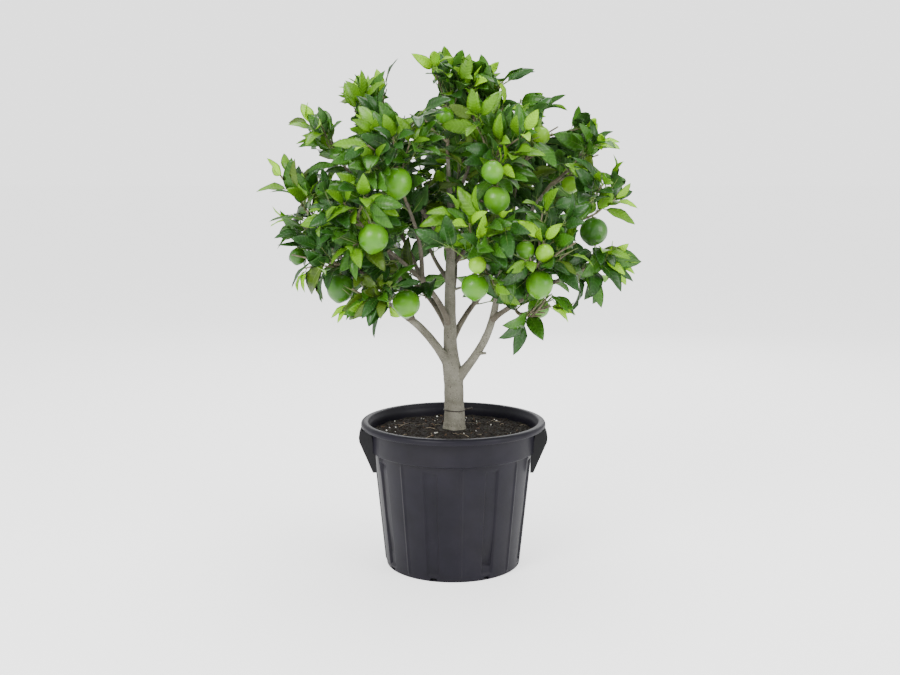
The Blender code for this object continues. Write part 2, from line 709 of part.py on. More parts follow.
def leaves_on(curve, droop, rng, space):
    """Leaves in a spiral up one shoot, closing to its tip, where the last ones are young."""
    length = (curve[2] - curve[0]).length
    count = max(2, round(length * (1 - FIRST_LEAF) / LEAF_SPACING))
    around = rng.uniform(0, 2 * math.pi)
    leaves = []
    for i in range(count + TIP_LEAVES):
        young = i >= count
        if young:
            u = 0.955 + 0.02 * (i - count)
            around += math.pi * 0.8
            opening = math.radians(22 + 9 * (i - count))
        else:
            u = FIRST_LEAF + (0.90 - FIRST_LEAF) * (i + 0.5) / count
            around += LEAF_TURN
            opening = math.radians(64 - 26 * u)
        hang = droop * rng.uniform(0.7, 1.2) * (1 - 0.4 * u)
        size = TIP_LEAF_LENGTH if young else LEAF_LENGTH * (1.04 - 0.24 * u)
        size *= rng.uniform(0.86, 1.10)
        for attempt in range(LEAF_TRIES):
            turn = around + 0.55 * attempt * (1 if attempt % 2 else -1)
            leaf = leaf_at(curve, u, turn, opening + rng.uniform(-0.12, 0.12), size, hang, rng)
            if leaf_is_free(leaf, space):
                leaves.append(leaf)
                break
    return leaves


def side_shoot(parent, u, around, rng, length, droop, space):
    """A shoot that leaves its parent at u and turns up towards the light, or None."""
    lift = UP * SHOOT_LIFT * (1 - droop)
    start = on_curve(parent, u)
    axis = along_curve(parent, u)
    outward = (start - CROWN_HEART).normalized()
    for attempt in range(SHOOT_TRIES):
        opening = math.radians(rng.uniform(38, 68))
        turn = around + rng.uniform(-0.5, 0.5) * (1 + attempt * 0.5)
        reach = length * rng.uniform(0.8, 1.15) * (1 - 0.035 * attempt)
        direction = axis * math.cos(opening) + any_side(axis, turn) * math.sin(opening)
        direction = (direction + outward * 0.35 + lift).normalized()
        tip = start + direction * reach
        curve = (start, (start + tip) / 2, tip)
        if crown_share(tip) > SHOOT_BOUND:
            continue
        if twig_is_free(curve, SHOOT_RADIUS, space, 0.012):
            return curve
    return None


def mass_of(centre):
    """The mass that a lime hangs in: the one whose heart is nearest."""
    return min(MASSES, key=lambda name: (Vector(MASSES[name][1]) - centre).length)


def grow(name, limbs):
    """Everything in one mass: its shoots, its leaves, and its limes with their stalks."""
    limb_name, heart, lead_tip, droop, count, seed = MASSES[name]
    rng = random.Random(seed)
    limb = limbs[limb_name]
    seat = limb["points"][-1]
    heading = (seat - limb["points"][-2]).normalized()
    limes = [(Vector(centre), size / 2) for centre, size in LIMES]
    balls = (np.array([centre for centre, _ in limes]), np.array([radius for _, radius in limes]))
    space = {
        "heart": Vector(heart),
        "others": [Vector(row[1]) for other, row in MASSES.items() if other != name],
        "clouds": [limb_cloud(limbs), balls],
        "trees": [],
    }
    start = seat + heading * GAP
    tip = Vector(lead_tip)
    lead = (start, start + heading * (tip - start).length * 0.45, tip)
    shoots = [lead]
    around = rng.uniform(0, 2 * math.pi)
    for i in range(count):
        around += GOLDEN_TURN
        u = 0.12 + 0.72 * (i + rng.uniform(0.2, 0.8)) / count
        length = SIDE_SHOOT_LENGTH * (1.1 - 0.35 * u)
        curve = side_shoot(lead, u, around, rng, length, droop, space)
        if curve:
            shoots.append(curve)
    own = [lime for lime in limes if mass_of(lime[0]) == name]
    stalks = [lime_stalk(centre, radius, shoots) for centre, radius in own]
    tubes = [cloud_of(shoot, SHOOT_RADIUS) for shoot in shoots]
    stalk_tubes = [cloud_of(stalk, STALK_RADIUS) for stalk in stalks]
    fixed = space["clouds"]
    leaves = []
    for i, shoot in enumerate(shoots):
        space["clouds"] = fixed + tubes[:i] + tubes[i + 1:] + stalk_tubes
        space["bound"] = SIDE_LEAF_BOUND if i and droop < 1 else LEAF_BOUND
        leaves += leaves_on(shoot, droop, rng, space)
    return {
        "shoots": shoots,
        "leaves": leaves,
        "limes": own,
        "stalks": stalks,
        "heading": heading,
        "stem_radius": limb["radii"][-1],
    }


def lime_stalk(centre, radius, shoots):
    """A curve from the nearest shoot to just inside the top of a lime."""
    crown = centre + UP * radius * 0.9
    spots = [on_curve(shoot, i / 20) for shoot in shoots for i in range(1, 20)]
    root = min(spots, key=lambda spot: (spot - crown).length)
    bend = (root + crown) / 2 + UP * 0.2 * (root - crown).length
    return (root, bend, centre + UP * radius * 0.6)


# The solids of one mass.
def leaf_solid(name, leaf, collection):
    """A kite that arches at its broadest place, over a keel, with its root sunk in the shoot."""
    work = bmesh.new()
    bmesh.ops.create_cone(
        work, cap_ends=True, segments=3, radius1=1.0, radius2=0.0, depth=1.0,
    )
    bmesh.ops.poke(work, faces=[face for face in work.faces if face.normal.z < -0.9])
    corners = leaf_points(leaf)
    order = sorted(work.verts, key=lambda vertex: (len(vertex.link_edges), vertex.co.z))
    for vertex, corner in zip(order, corners):
        vertex.co = corner
    bmesh.ops.recalc_face_normals(work, faces=work.faces)
    mesh = bpy.data.meshes.new(name)
    work.to_mesh(mesh)
    work.free()
    return place(name, mesh, collection)


def lime_solid(name, centre, radius, collection):
    """A round fruit with a short point at its far end."""
    mesh = bpy.data.meshes.new(name)
    work = bmesh.new()
    bmesh.ops.create_uvsphere(work, u_segments=6, v_segments=5, radius=radius)
    for vertex in work.verts:
        if vertex.co.z < -radius * 0.95:
            vertex.co.z *= 1.10
        vertex.co += centre
    bmesh.ops.recalc_face_normals(work, faces=work.faces)
    work.to_mesh(mesh)
    work.free()
    return place(name, mesh, collection)


def one_closed_body(mesh):
    """Keeps the largest body of a mesh. A loose scrap or the skin of a sealed hollow is dropped."""
    work = bmesh.new()
    work.from_mesh(mesh)
    left = set(work.faces)
    bodies = []
    while left:
        edge_of_body = [left.pop()]
        body = list(edge_of_body)
        while edge_of_body:
            face = edge_of_body.pop()
            near = {other for edge in face.edges for other in edge.link_faces} & left
            left -= near
            body.extend(near)
            edge_of_body.extend(near)
        bodies.append(body)
    bodies.sort(key=lambda body: sum(face.calc_area() for face in body))
    spare = [face for body in bodies[:-1] for face in body]
    bmesh.ops.delete(work, geom=spare, context="FACES")
    work.to_mesh(mesh)
    work.free()


def tube_points(curve, foot, tip_radius, steps):
    """Points and radii along a tapering shoot."""
    points = [on_curve(curve, k / steps) for k in range(steps + 1)]
    return points, [foot + (tip_radius - foot) * k / steps for k in range(steps + 1)]


def make_mass(name, grown, rings, parts, material):
    """All of a mass joined into one solid."""
    pieces = new_collection(f"{name}_pieces", shown=False)
    lead = grown["shoots"][0]
    points, radii = tube_points(lead, grown["stem_radius"], SHOOT_TIP_RADIUS, 3)
    points.insert(1, points[0] + grown["heading"] * 0.003)
    radii.insert(1, grown["stem_radius"])
    curves = [swept(f"{name}_lead", points, radii, rings["stem"], pieces)]
    for i, shoot in enumerate(grown["shoots"][1:]):
        points, radii = tube_points(shoot, SHOOT_RADIUS, SHOOT_TIP_RADIUS, 1)
        curves.append(swept(f"{name}_shoot_{i}", points, radii, rings["twig"], pieces))
    for i, stalk in enumerate(grown["stalks"]):
        points, radii = tube_points(stalk, STALK_RADIUS, STALK_RADIUS, 2)
        curves.append(swept(f"{name}_stalk_{i}", points, radii, rings["twig"], pieces))
    stem = as_meshes(curves)[0]
    for i, leaf in enumerate(grown["leaves"]):
        leaf_solid(f"{name}_leaf_{i}", leaf, pieces)
    for i, (centre, radius) in enumerate(grown["limes"]):
        lime_solid(f"{name}_lime_{i}", centre, radius, pieces)
    pieces.objects.unlink(stem)
    parts.objects.link(stem)
    stem.name = name
    boolean(stem, "UNION", collection=pieces)
    applied(stem)
    one_closed_body(stem.data)
    print(name, len(grown["shoots"]), "shoots", len(grown["leaves"]), "leaves")
    drop_collection(pieces)
    dress(stem, material)
    return stem


def make_limb(name, limb, rings, limbs, parts, cutters, material):
    """One tapering limb. Its foot is cut to the limb that it grows from."""
    ring = rings["trunk"] if name == "trunk" else rings["bough"]
    node = "trunk" if name == "trunk" else f"bough_{name}"
    obj = as_meshes([swept(node, limb["points"], limb["radii"], ring, parts)])[0]
    if limb["parent"]:
        parent = limbs[limb["parent"]]
        grown = [radius + GAP for radius in parent["radii"]]
        parent_ring = rings["trunk"] if limb["parent"] == "trunk" else rings["bough"]
        cutter = as_meshes([swept(f"{name}_seat", parent["points"], grown, parent_ring, cutters)])[0]
        boolean(obj, "DIFFERENCE", cutter=cutter)
        applied(obj)
        one_closed_body(obj.data)
        bpy.data.objects.remove(cutter, do_unlink=True)
    dress(obj, material)
    return obj


def make_tie(limbs, parts, material):
    """The thin wire tied round the foot of the trunk."""
    bpy.ops.mesh.primitive_torus_add(
        major_radius=TIE_RADIUS + TIE_WIRE + GAP,
        minor_radius=TIE_WIRE,
        major_segments=16,
        minor_segments=4,
        location=limb_at_height(limbs["trunk"], TIE_LEVEL),
    )
    tie = bpy.context.object
    tie.name = "trunk_tie"
    for collection in list(tie.users_collection):
        collection.objects.unlink(tie)
    parts.objects.link(tie)
    dress(tie, material, smooth_under=60)
    return tie


def main():
    clear_scene()
    parts = new_collection("potted_lime_tree")
    cutters = new_collection("cutters", shown=False)
    plastic = finish("pot_plastic", (0.028, 0.028, 0.034), 0.45)
    soil_brown = finish("soil", (0.022, 0.014, 0.009), 0.95)
    bark = finish("bark", (0.30, 0.28, 0.24), 0.85)
    green = finish("leaf_green", (0.035, 0.13, 0.018), 0.40)
    wire = finish("tie_wire", (0.05, 0.045, 0.04), 0.6)
    rings = {
        "trunk": ring_profile(TRUNK_SIDES, cutters),
        "bough": ring_profile(BOUGH_SIDES, cutters),
        "stem": ring_profile(STEM_SIDES, cutters),
        "twig": ring_profile(TWIG_SIDES, cutters),
    }
    make_pot(parts, plastic)
    outer = pot_body_cutter(cutters)
    make_handle("pot_handle_left", -1, parts, cutters, outer, plastic)
    make_handle("pot_handle_right", 1, parts, cutters, outer, plastic)
    make_soil(parts, soil_brown)
    limbs = lay_out_limbs()
    for name, limb in limbs.items():
        make_limb(name, limb, rings, limbs, parts, cutters, bark)
    make_tie(limbs, parts, wire)
    for name in MASSES:
        make_mass(f"foliage_{name}", grow(name, limbs), rings, parts, green)
    drop_collection(cutters)


main()
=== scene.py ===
import math
import random

import bmesh
import bpy
import numpy as np
from mathutils import Matrix, Vector
from mathutils.bvhtree import BVHTree


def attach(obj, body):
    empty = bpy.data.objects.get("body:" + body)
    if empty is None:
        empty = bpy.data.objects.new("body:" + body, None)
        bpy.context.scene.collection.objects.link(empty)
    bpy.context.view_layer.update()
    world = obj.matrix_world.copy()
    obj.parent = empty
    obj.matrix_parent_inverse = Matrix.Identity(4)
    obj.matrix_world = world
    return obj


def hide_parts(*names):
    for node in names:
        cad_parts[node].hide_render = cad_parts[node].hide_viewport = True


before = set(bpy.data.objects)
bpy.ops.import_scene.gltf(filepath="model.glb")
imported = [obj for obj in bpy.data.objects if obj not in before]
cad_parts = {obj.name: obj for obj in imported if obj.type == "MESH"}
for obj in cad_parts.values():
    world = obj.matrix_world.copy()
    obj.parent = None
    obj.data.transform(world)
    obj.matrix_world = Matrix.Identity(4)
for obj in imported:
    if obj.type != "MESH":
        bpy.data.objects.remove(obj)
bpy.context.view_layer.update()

up = Vector((0, 0, 1))

# Camera: stands in front of the tree and looks a little down. Metres, degrees, millimetres of lens
cameraSettings = {
    "place": (-0.0054, -1.963, 0.677),
    "downDeg": 8.12,
    "lens": 46.12,
    "sensorWidth": 36.0,
    "picture": (900, 675),
}

# Studio: pale floor, one broad key from the upper left, fills and a top light
studioSettings = {
    "floorColour": (0.90, 0.90, 0.90),
    "floorRoughness": 0.85,
    "floorSize": 60.0,
    "worldColour": (1.0, 1.0, 1.0),
    # strength of what lights the plant, and of what the camera sees
    "floorGlow": (0.45, 1.30),
    "worldStrength": (1.0, 2.25),
    # place, aim, width, power in watts
    "lights": (
        ((-1.6, -2.2, 2.3), (0, 0, 0.55), 1.4, 78.0),
        ((2.2, -1.6, 1.5), (0, 0, 0.50), 1.5, 40.0),
        ((0.2, 0.4, 2.9), (0, 0, 0.60), 1.5, 46.0),
        ((0.4, 2.4, 1.6), (0, 0, 0.60), 1.8, 20.0),
    ),
}

endRise = 0.0001  # how far the closing point of a tube stands out past its last ring


# Small helpers on arrays
def unit(rows):
    # Each row divided by its length
    return rows / np.maximum(np.linalg.norm(rows, axis=-1, keepdims=True), 1e-12)


def smoothStep(value, low, high):
    # 3t^2 - 2t^3, where t goes from 0 at low to 1 at high
    t = np.clip((value - low) / (high - low), 0, 1)
    return t * t * (3 - 2 * t)


def waves(points, size, seed, count=7):
    # A soft field about 0: a sum of sines along random directions, with waves about one size long
    rng = np.random.default_rng(seed)
    turns = rng.normal(size=(count, 3))
    turns = turns / np.linalg.norm(turns, axis=1)[:, None] * rng.uniform(0.6, 1.6, (count, 1))
    phase = rng.uniform(0, 2 * np.pi, count)
    return np.sin(points @ turns.T * (2 * np.pi / size) + phase).sum(-1) / math.sqrt(count)


def smoothPath(points, radii, count):
    # A Catmull-Rom curve through the points, and the radius read straight between them
    points = np.array([tuple(point) for point in points], dtype=float)
    padded = np.vstack([2 * points[0] - points[1], points, 2 * points[-1] - points[-2]])
    t = np.linspace(0, len(points) - 1, count)
    i = np.minimum(t.astype(int), len(points) - 2)
    f = (t - i)[:, None]
    a, b, c, d = padded[i], padded[i + 1], padded[i + 2], padded[i + 3]
    curve = b + 0.5 * f * (c - a + f * (2 * a - 5 * b + 4 * c - d + f * (3 * b - 3 * c + d - a)))
    return curve, np.interp(t, np.arange(len(points)), radii)


def tubes(paths, radii, sides):
    # A ring of points square to each path at its radius, ring joined to ring, ends closed to a point
    count, stations, _ = paths.shape
    along = unit(np.gradient(paths, axis=1))
    helper = np.eye(3)[np.argmin(np.abs(paths[:, -1] - paths[:, 0]), axis=1)]
    first = unit(np.cross(along, helper[:, None, :]))
    second = np.cross(along, first)
    turn = 2 * np.pi * np.arange(sides) / sides
    ring = first[:, :, None] * np.cos(turn)[:, None] + second[:, :, None] * np.sin(turn)[:, None]
    reach = radii[..., None] if radii.ndim == 2 else radii
    shell = paths[:, :, None] + ring * reach[..., None]
    closing = [paths[:, :1] - along[:, :1] * endRise, paths[:, -1:] + along[:, -1:] * endRise]
    points = np.concatenate([shell.reshape(count, -1, 3), *closing], 1)
    k = np.arange(sides)
    after = (k + 1) % sides
    rows = np.arange(stations - 1)[:, None] * sides
    quads = np.stack([rows + k, rows + after, rows + sides + after, rows + sides + k], -1).reshape(-1, 4)
    last = (stations - 1) * sides
    foot, tip = stations * sides, stations * sides + 1
    footFan = np.stack([np.full(sides, foot), after, k], -1)
    tipFan = np.stack([np.full(sides, tip), last + k, last + after], -1)
    fans = np.vstack([footFan, tipFan])
    steps = np.arange(count)[:, None, None] * (stations * sides + 2)
    return points.reshape(-1, 3), [(quads + steps).reshape(-1, 4), (fans + steps).reshape(-1, 3)]


def turnedShell(radius, height):
    # A profile carried round Z: radius and height are angle by profile step, with both ends on the axis
    turns, steps = radius.shape
    angle = 2 * np.pi * np.arange(turns)[:, None] / turns
    grid = np.stack([radius * np.cos(angle), radius * np.sin(angle), height], -1)[:, 1:-1]
    points = np.vstack([grid.reshape(-1, 3), [[0, 0, height[0, 0]], [0, 0, height[0, -1]]]])
    inner = steps - 2
    a = np.arange(turns)[:, None] * inner
    b = (np.arange(turns)[:, None] + 1) % turns * inner
    m = np.arange(inner - 1)
    quads = np.stack([a + m, b + m, b + m + 1, a + m + 1], -1).reshape(-1, 4)
    low, high = turns * inner, turns * inner + 1
    lowFan = np.stack([np.full(turns, low), b[:, 0], a[:, 0]], -1)
    highFan = np.stack([a[:, 0] + inner - 1, b[:, 0] + inner - 1, np.full(turns, high)], -1)
    return points, [quads, np.vstack([lowFan, highFan])]


def arc(centreR, centreZ, radius, fromDeg, toDeg, steps):
    # Points on a circle of a profile, by angle from the outward direction
    angle = np.radians(np.linspace(fromDeg, toDeg, steps))
    return [(centreR + radius * c, centreZ + radius * s) for c, s in zip(np.cos(angle), np.sin(angle))]


def straight(start, end, steps):
    # Evenly spaced profile points on a line, without its last point
    return [tuple(row) for row in np.linspace(start, end, steps, endpoint=False)]


def joined(blocks):
    # Several sets of points and faces as one, with the face numbers moved on
    points, quads, fans, start = [], [], [], 0
    for block, (four, three) in blocks:
        points.append(block)
        quads.append(four + start)
        fans.append(three + start)
        start += len(block)
    return np.vstack(points), [np.vstack(quads), np.vstack(fans)]


def addObject(name, data):
    # A new object in the scene, at the origin
    made = bpy.data.objects.new(name, data)
    bpy.context.scene.collection.objects.link(made)
    return made


def placePiece(name, mesh, nodes):
    # Rides on the root body and stands for these nodes
    piece = addObject(name, mesh)
    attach(piece, "root")
    if nodes:
        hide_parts(*nodes)
    return piece


def makePiece(name, points, faces, materials, nodes=(), faceMaterial=None, uv=None):
    # A piece from arrays: points, blocks of faces, and where they vary each face's material and each UV
    mesh = bpy.data.meshes.new(name)
    mesh.from_pydata(points.tolist(), [], [row for block in faces for row in block.tolist()])
    mesh.update()
    for material in materials:
        mesh.materials.append(material)
    if faceMaterial is not None:
        mesh.polygons.foreach_set("material_index", faceMaterial)
    if uv is not None:
        layer = mesh.uv_layers.new(name="along")
        corner = np.empty(len(mesh.loops), dtype=np.int32)
        mesh.loops.foreach_get("vertex_index", corner)
        layer.data.foreach_set("uv", uv[corner].astype(np.float32).ravel())
    mesh.shade_smooth()
    placePiece(name, mesh, nodes)


# Shader groups that several finishes share
def newGroup(name, inputs, outputs):
    # An empty group. The default of an input gives its kind: none a vector, a tuple a colour, else a number
    group = bpy.data.node_groups.new(name, "ShaderNodeTree")
    for label, value in inputs.items():
        kind = "Vector" if value is None else "Color" if isinstance(value, tuple) else "Float"
        socket = group.interface.new_socket(label, in_out="INPUT", socket_type=f"NodeSocket{kind}")
        if value is not None:
            socket.default_value = value
    for label, kind in outputs.items():
        group.interface.new_socket(label, in_out="OUTPUT", socket_type=f"NodeSocket{kind}")
    return group, group.nodes.new("NodeGroupInput"), group.nodes.new("NodeGroupOutput")


def mottleGroup():
    # Soft cloudy noise, stretched from Low to High, as a blend of two colours and as a height
    group, given, out = newGroup(
        "mottle",
        {"Vector": None, "Scale": 20.0, "Detail": 3.0, "Low": 0.35, "High": 0.65,
         "Colour A": (0, 0, 0, 1), "Colour B": (1, 1, 1, 1)},
        {"Colour": "Color", "Height": "Float"},
    )
    noise = group.nodes.new("ShaderNodeTexNoise")
    spread = group.nodes.new("ShaderNodeMapRange")
    mix = group.nodes.new("ShaderNodeMix")
    mix.data_type = "RGBA"
    for start, end in (
        (given.outputs["Vector"], noise.inputs["Vector"]),
        (given.outputs["Scale"], noise.inputs["Scale"]),
        (given.outputs["Detail"], noise.inputs["Detail"]),
        (noise.outputs["Fac"], spread.inputs["Value"]),
        (given.outputs["Low"], spread.inputs["From Min"]),
        (given.outputs["High"], spread.inputs["From Max"]),
        (spread.outputs["Result"], mix.inputs["Factor"]),
        (given.outputs["Colour A"], mix.inputs[6]),
        (given.outputs["Colour B"], mix.inputs[7]),
        (mix.outputs[2], out.inputs["Colour"]),
        (spread.outputs["Result"], out.inputs["Height"]),
    ):
        group.links.new(start, end)
    return group


def poreGroup():
    # Small round cells: 0 in the middle of each, rising to 1 between them
    group, given, out = newGroup("pores", {"Vector": None, "Scale": 400.0, "Width": 0.5}, {"Height": "Float"})
    cells = group.nodes.new("ShaderNodeTexVoronoi")
    cells.feature = "F1"
    spread = group.nodes.new("ShaderNodeMapRange")
    spread.interpolation_type = "SMOOTHSTEP"
    for start, end in (
        (given.outputs["Vector"], cells.inputs["Vector"]),
        (given.outputs["Scale"], cells.inputs["Scale"]),
        (cells.outputs["Distance"], spread.inputs["Value"]),
        (given.outputs["Width"], spread.inputs["From Max"]),
        (spread.outputs["Result"], out.inputs["Height"]),
    ):
        group.links.new(start, end)
    return group


def veinGroup():
    # Side veins that slope forward: a power of a sine of Count times along, less Slope times across
    group, given, out = newGroup("leafVeins", {"UV": None, "Count": 9.0, "Slope": 2.6}, {"Mask": "Float"})
    nodes, link = group.nodes, group.links.new
    split = nodes.new("ShaderNodeSeparateXYZ")
    link(given.outputs["UV"], split.inputs[0])

    def step(operation, first, second=None):
        # One sum on two sockets or numbers
        node = nodes.new("ShaderNodeMath")
        node.operation = operation
        for socket, value in zip(node.inputs, (first, second)):
            if hasattr(value, "links"):
                link(value, socket)
            elif value is not None:
                socket.default_value = value
        return node.outputs[0]

    across = step("ABSOLUTE", step("SUBTRACT", split.outputs["Y"], 0.5))
    forward = step("MULTIPLY", across, given.outputs["Slope"])
    along = step("MULTIPLY", split.outputs["X"], given.outputs["Count"])
    stripe = step("MULTIPLY", step("SUBTRACT", along, forward), 2 * math.pi)
    wave = step("ADD", step("MULTIPLY", step("SINE", stripe), 0.5), 0.5)
    link(step("POWER", wave, 5.0), out.inputs["Mask"])
    return group


groups = {"mottle": mottleGroup(), "pores": poreGroup(), "veins": veinGroup()}


class Finish:
    # One material: a Principled shader whose colour is a mottle of two, and short ways to add to it
    def __init__(self, name, roughness, low, high, scale, start=0.35, stop=0.65, detail=3.0, **sockets):
        self.material = bpy.data.materials.new(name)
        self.material.use_nodes = True
        self.nodes = self.material.node_tree.nodes
        self.link = self.material.node_tree.links.new
        self.shader = self.nodes["Principled BSDF"]
        self.shader.inputs["Base Color"].default_value = (*[(a + b) / 2 for a, b in zip(low, high)], 1)
        self.shader.inputs["Roughness"].default_value = roughness
        for label, value in sockets.items():
            self.shader.inputs[label.replace("_", " ")].default_value = value
        self.places = self.nodes.new("ShaderNodeTexCoord")
        self.relief = None
        blend = {"Scale": scale, "Low": start, "High": stop, "Detail": detail}
        clouds = self.group("mottle", Colour_A=low, Colour_B=high, **blend)
        self.link(clouds.outputs["Colour"], self.shader.inputs["Base Color"])
        self.grain = clouds.outputs["Height"]

    def group(self, key, **values):
        # A shared group with this finish's own values, read at the object's coordinates
        node = self.nodes.new("ShaderNodeGroup")
        node.node_tree = groups[key]
        if "Vector" in node.inputs:
            self.link(self.places.outputs["Object"], node.inputs["Vector"])
        for label, value in values.items():
            label = label.replace("_", " ")
            node.inputs[label].default_value = (*value, 1) if isinstance(value, tuple) else value
        return node

    def over(self, mask, colour):
        # Lays a colour over the base colour where the mask is 1
        mix = self.nodes.new("ShaderNodeMix")
        mix.data_type = "RGBA"
        mix.inputs[7].default_value = (*colour, 1)
        base = self.shader.inputs["Base Color"]
        self.link(base.links[0].from_socket, mix.inputs[6])
        self.link(mask, mix.inputs["Factor"])
        self.link(mix.outputs[2], base)

    def faded(self, mask, share):
        # The mask times a share
        node = self.nodes.new("ShaderNodeMath")
        node.operation = "MULTIPLY"
        node.inputs[1].default_value = share
        self.link(mask, node.inputs[0])
        return node.outputs[0]

    def spots(self, scale, size, colour, stretch=(1, 1, 1)):
        # Round specks of a colour, dealt out by the distance to scattered points
        mapping = self.nodes.new("ShaderNodeMapping")
        mapping.inputs["Scale"].default_value = stretch
        cells = self.nodes.new("ShaderNodeTexVoronoi")
        cells.inputs["Scale"].default_value = scale
        mask = self.nodes.new("ShaderNodeMapRange")
        mask.inputs["From Min"].default_value = size
        mask.inputs["From Max"].default_value = size * 0.5
        self.link(self.places.outputs["Object"], mapping.inputs["Vector"])
        self.link(mapping.outputs[0], cells.inputs["Vector"])
        self.link(cells.outputs["Distance"], mask.inputs["Value"])
        self.over(mask.outputs["Result"], colour)
        return mask.outputs["Result"]

    def bump(self, height, strength, depth):
        # Relief of this depth in metres, on top of the relief before it
        node = self.nodes.new("ShaderNodeBump")
        node.inputs["Strength"].default_value = strength
        node.inputs["Distance"].default_value = depth
        self.link(height, node.inputs["Height"])
        if self.relief:
            self.link(self.relief, node.inputs["Normal"])
        self.relief = node.outputs["Normal"]
        self.link(self.relief, self.shader.inputs["Normal"])


# Colour and roughness of each tone of leaf
leafColours = {
    "Dark": ((0.016, 0.070, 0.006), 0.31),
    "Mid": ((0.036, 0.128, 0.005), 0.32),
    "Fresh": ((0.105, 0.265, 0.004), 0.35),
    "Young": ((0.240, 0.520, 0.004), 0.40),
    # the olive tone is painted backlight: the colour of leaves lit from behind
    "Olive": ((0.064, 0.125, 0.006), 0.44),
}

leafLook = {
    "darker": 0.72,
    "lighter": 1.25,
    "scale": 34.0,
    "specular": 0.34,
    "veinGain": 1.9,
    "veinLift": 0.02,
    "veinShare": 0.30,
    "veinStrength": 0.25,
    "veinDepth": 0.0004,
    "underGain": 1.35,
    "underLift": (0.020, 0.030, 0.010),
    "underRoughness": 0.58,
}


def leafFinish(name, colour, roughness, veinColour):
    # Green from darker to lighter, with side veins laid over it in part and raised
    s = leafLook
    low, high = [tuple(part * s[shade] for part in colour) for shade in ("darker", "lighter")]
    made = Finish(name, roughness, low, high, s["scale"], Specular_IOR_Level=s["specular"])
    veins = made.group("veins")
    made.link(made.places.outputs["UV"], veins.inputs["UV"])
    made.over(made.faded(veins.outputs["Mask"], s["veinShare"]), veinColour)
    made.bump(veins.outputs["Mask"], s["veinStrength"], s["veinDepth"])
    return made.material


def bothSidesOfLeaf(tone):
    # The upper face, and the paler, duller underside: the colour times a gain plus a lift
    s = leafLook
    colour, roughness = leafColours[tone]
    vein = tuple(min(1.0, part * s["veinGain"] + s["veinLift"]) for part in colour)
    under = tuple(part * s["underGain"] + lift for part, lift in zip(colour, s["underLift"]))
    return {
        f"leaf{tone}": leafFinish(f"leaf{tone}", colour, roughness, vein),
        f"under{tone}": leafFinish(f"under{tone}", under, s["underRoughness"], vein),
    }


# Finishes of one mottle: roughness, two colours, scale, detail, strength and depth of the relief
plainFinishes = {
    "leafRib": (0.45, (0.17, 0.27, 0.055), (0.27, 0.38, 0.10), 60.0, 3.0, None),
    "twigGreen": (0.5, (0.07, 0.13, 0.028), (0.15, 0.20, 0.05), 90.0, 3.0, (0.3, 0.0004)),
    "twigBrown": (0.7, (0.10, 0.085, 0.045), (0.25, 0.21, 0.14), 120.0, 5.0, (0.5, 0.0005)),
    "calyx": (0.7, (0.08, 0.095, 0.03), (0.20, 0.20, 0.08), 300.0, 3.0, None),
    "soilCrumb": (0.95, (0.004, 0.0026, 0.0018), (0.022, 0.0135, 0.007), 160.0, 6.0, (0.8, 0.0015)),
    "perlite": (0.9, (0.55, 0.52, 0.46), (0.86, 0.85, 0.82), 400.0, 3.0, (0.8, 0.0008)),
    "barkChip": (0.85, (0.03, 0.017, 0.010), (0.11, 0.065, 0.034), 180.0, 6.0, (0.8, 0.001)),
    "rootFibre": (0.8, (0.16, 0.12, 0.08), (0.40, 0.33, 0.24), 120.0, 3.0, None),
}

# Two colours and the size of the dots, on the thick limbs and on the thin ones
barkColours = {
    "bark": ((0.150, 0.140, 0.105), (0.270, 0.255, 0.205), 0.26),
    "barkThin": ((0.095, 0.080, 0.058), (0.200, 0.175, 0.135), 0.22),
}

limeColours = {
    "limeGreen": ((0.072, 0.270, 0.001), (0.130, 0.380, 0.002)),
    "limePale": ((0.210, 0.520, 0.004), (0.310, 0.640, 0.008)),
    "limeDeep": ((0.024, 0.125, 0.001), (0.050, 0.190, 0.002)),
}


def plainFinish(name):
    # One mottle, and its height as relief
    roughness, low, high, scale, detail, relief = plainFinishes[name]
    made = Finish(name, roughness, low, high, scale, detail=detail)
    if relief:
        made.bump(made.grain, *relief)
    return made.material


def barkFinish(name):
    # Grey mottle with pale and dark dots, each of them raised
    low, high, dotSize = barkColours[name]
    bark = Finish(name, 0.80, low, high, 46.0, 0.30, 0.70, 6.0)
    pale = bark.spots(420.0, dotSize, (0.36, 0.34, 0.28), (1, 1, 0.8))
    dark = bark.spots(230.0, dotSize * 0.8, (0.075, 0.062, 0.042), (1, 1, 0.7))
    bark.bump(bark.grain, 0.45, 0.0010)
    bark.bump(pale, 0.4, 0.0003)
    bark.bump(dark, 0.5, 0.0004)
    return bark.material


def peelFinish(name):
    # Waxy peel with fine pores over soft lumps
    low, high = limeColours[name]
    peel = Finish(name, 0.36, low, high, 32.0, 0.30, 0.72, 2.0, Coat_Weight=0.25, Coat_Roughness=0.25)
    peel.bump(peel.group("pores", Scale=760.0, Width=0.42).outputs["Height"], 0.42, 0.0005)
    peel.bump(peel.group("mottle", Scale=150.0).outputs["Height"], 0.20, 0.0008)
    return peel.material


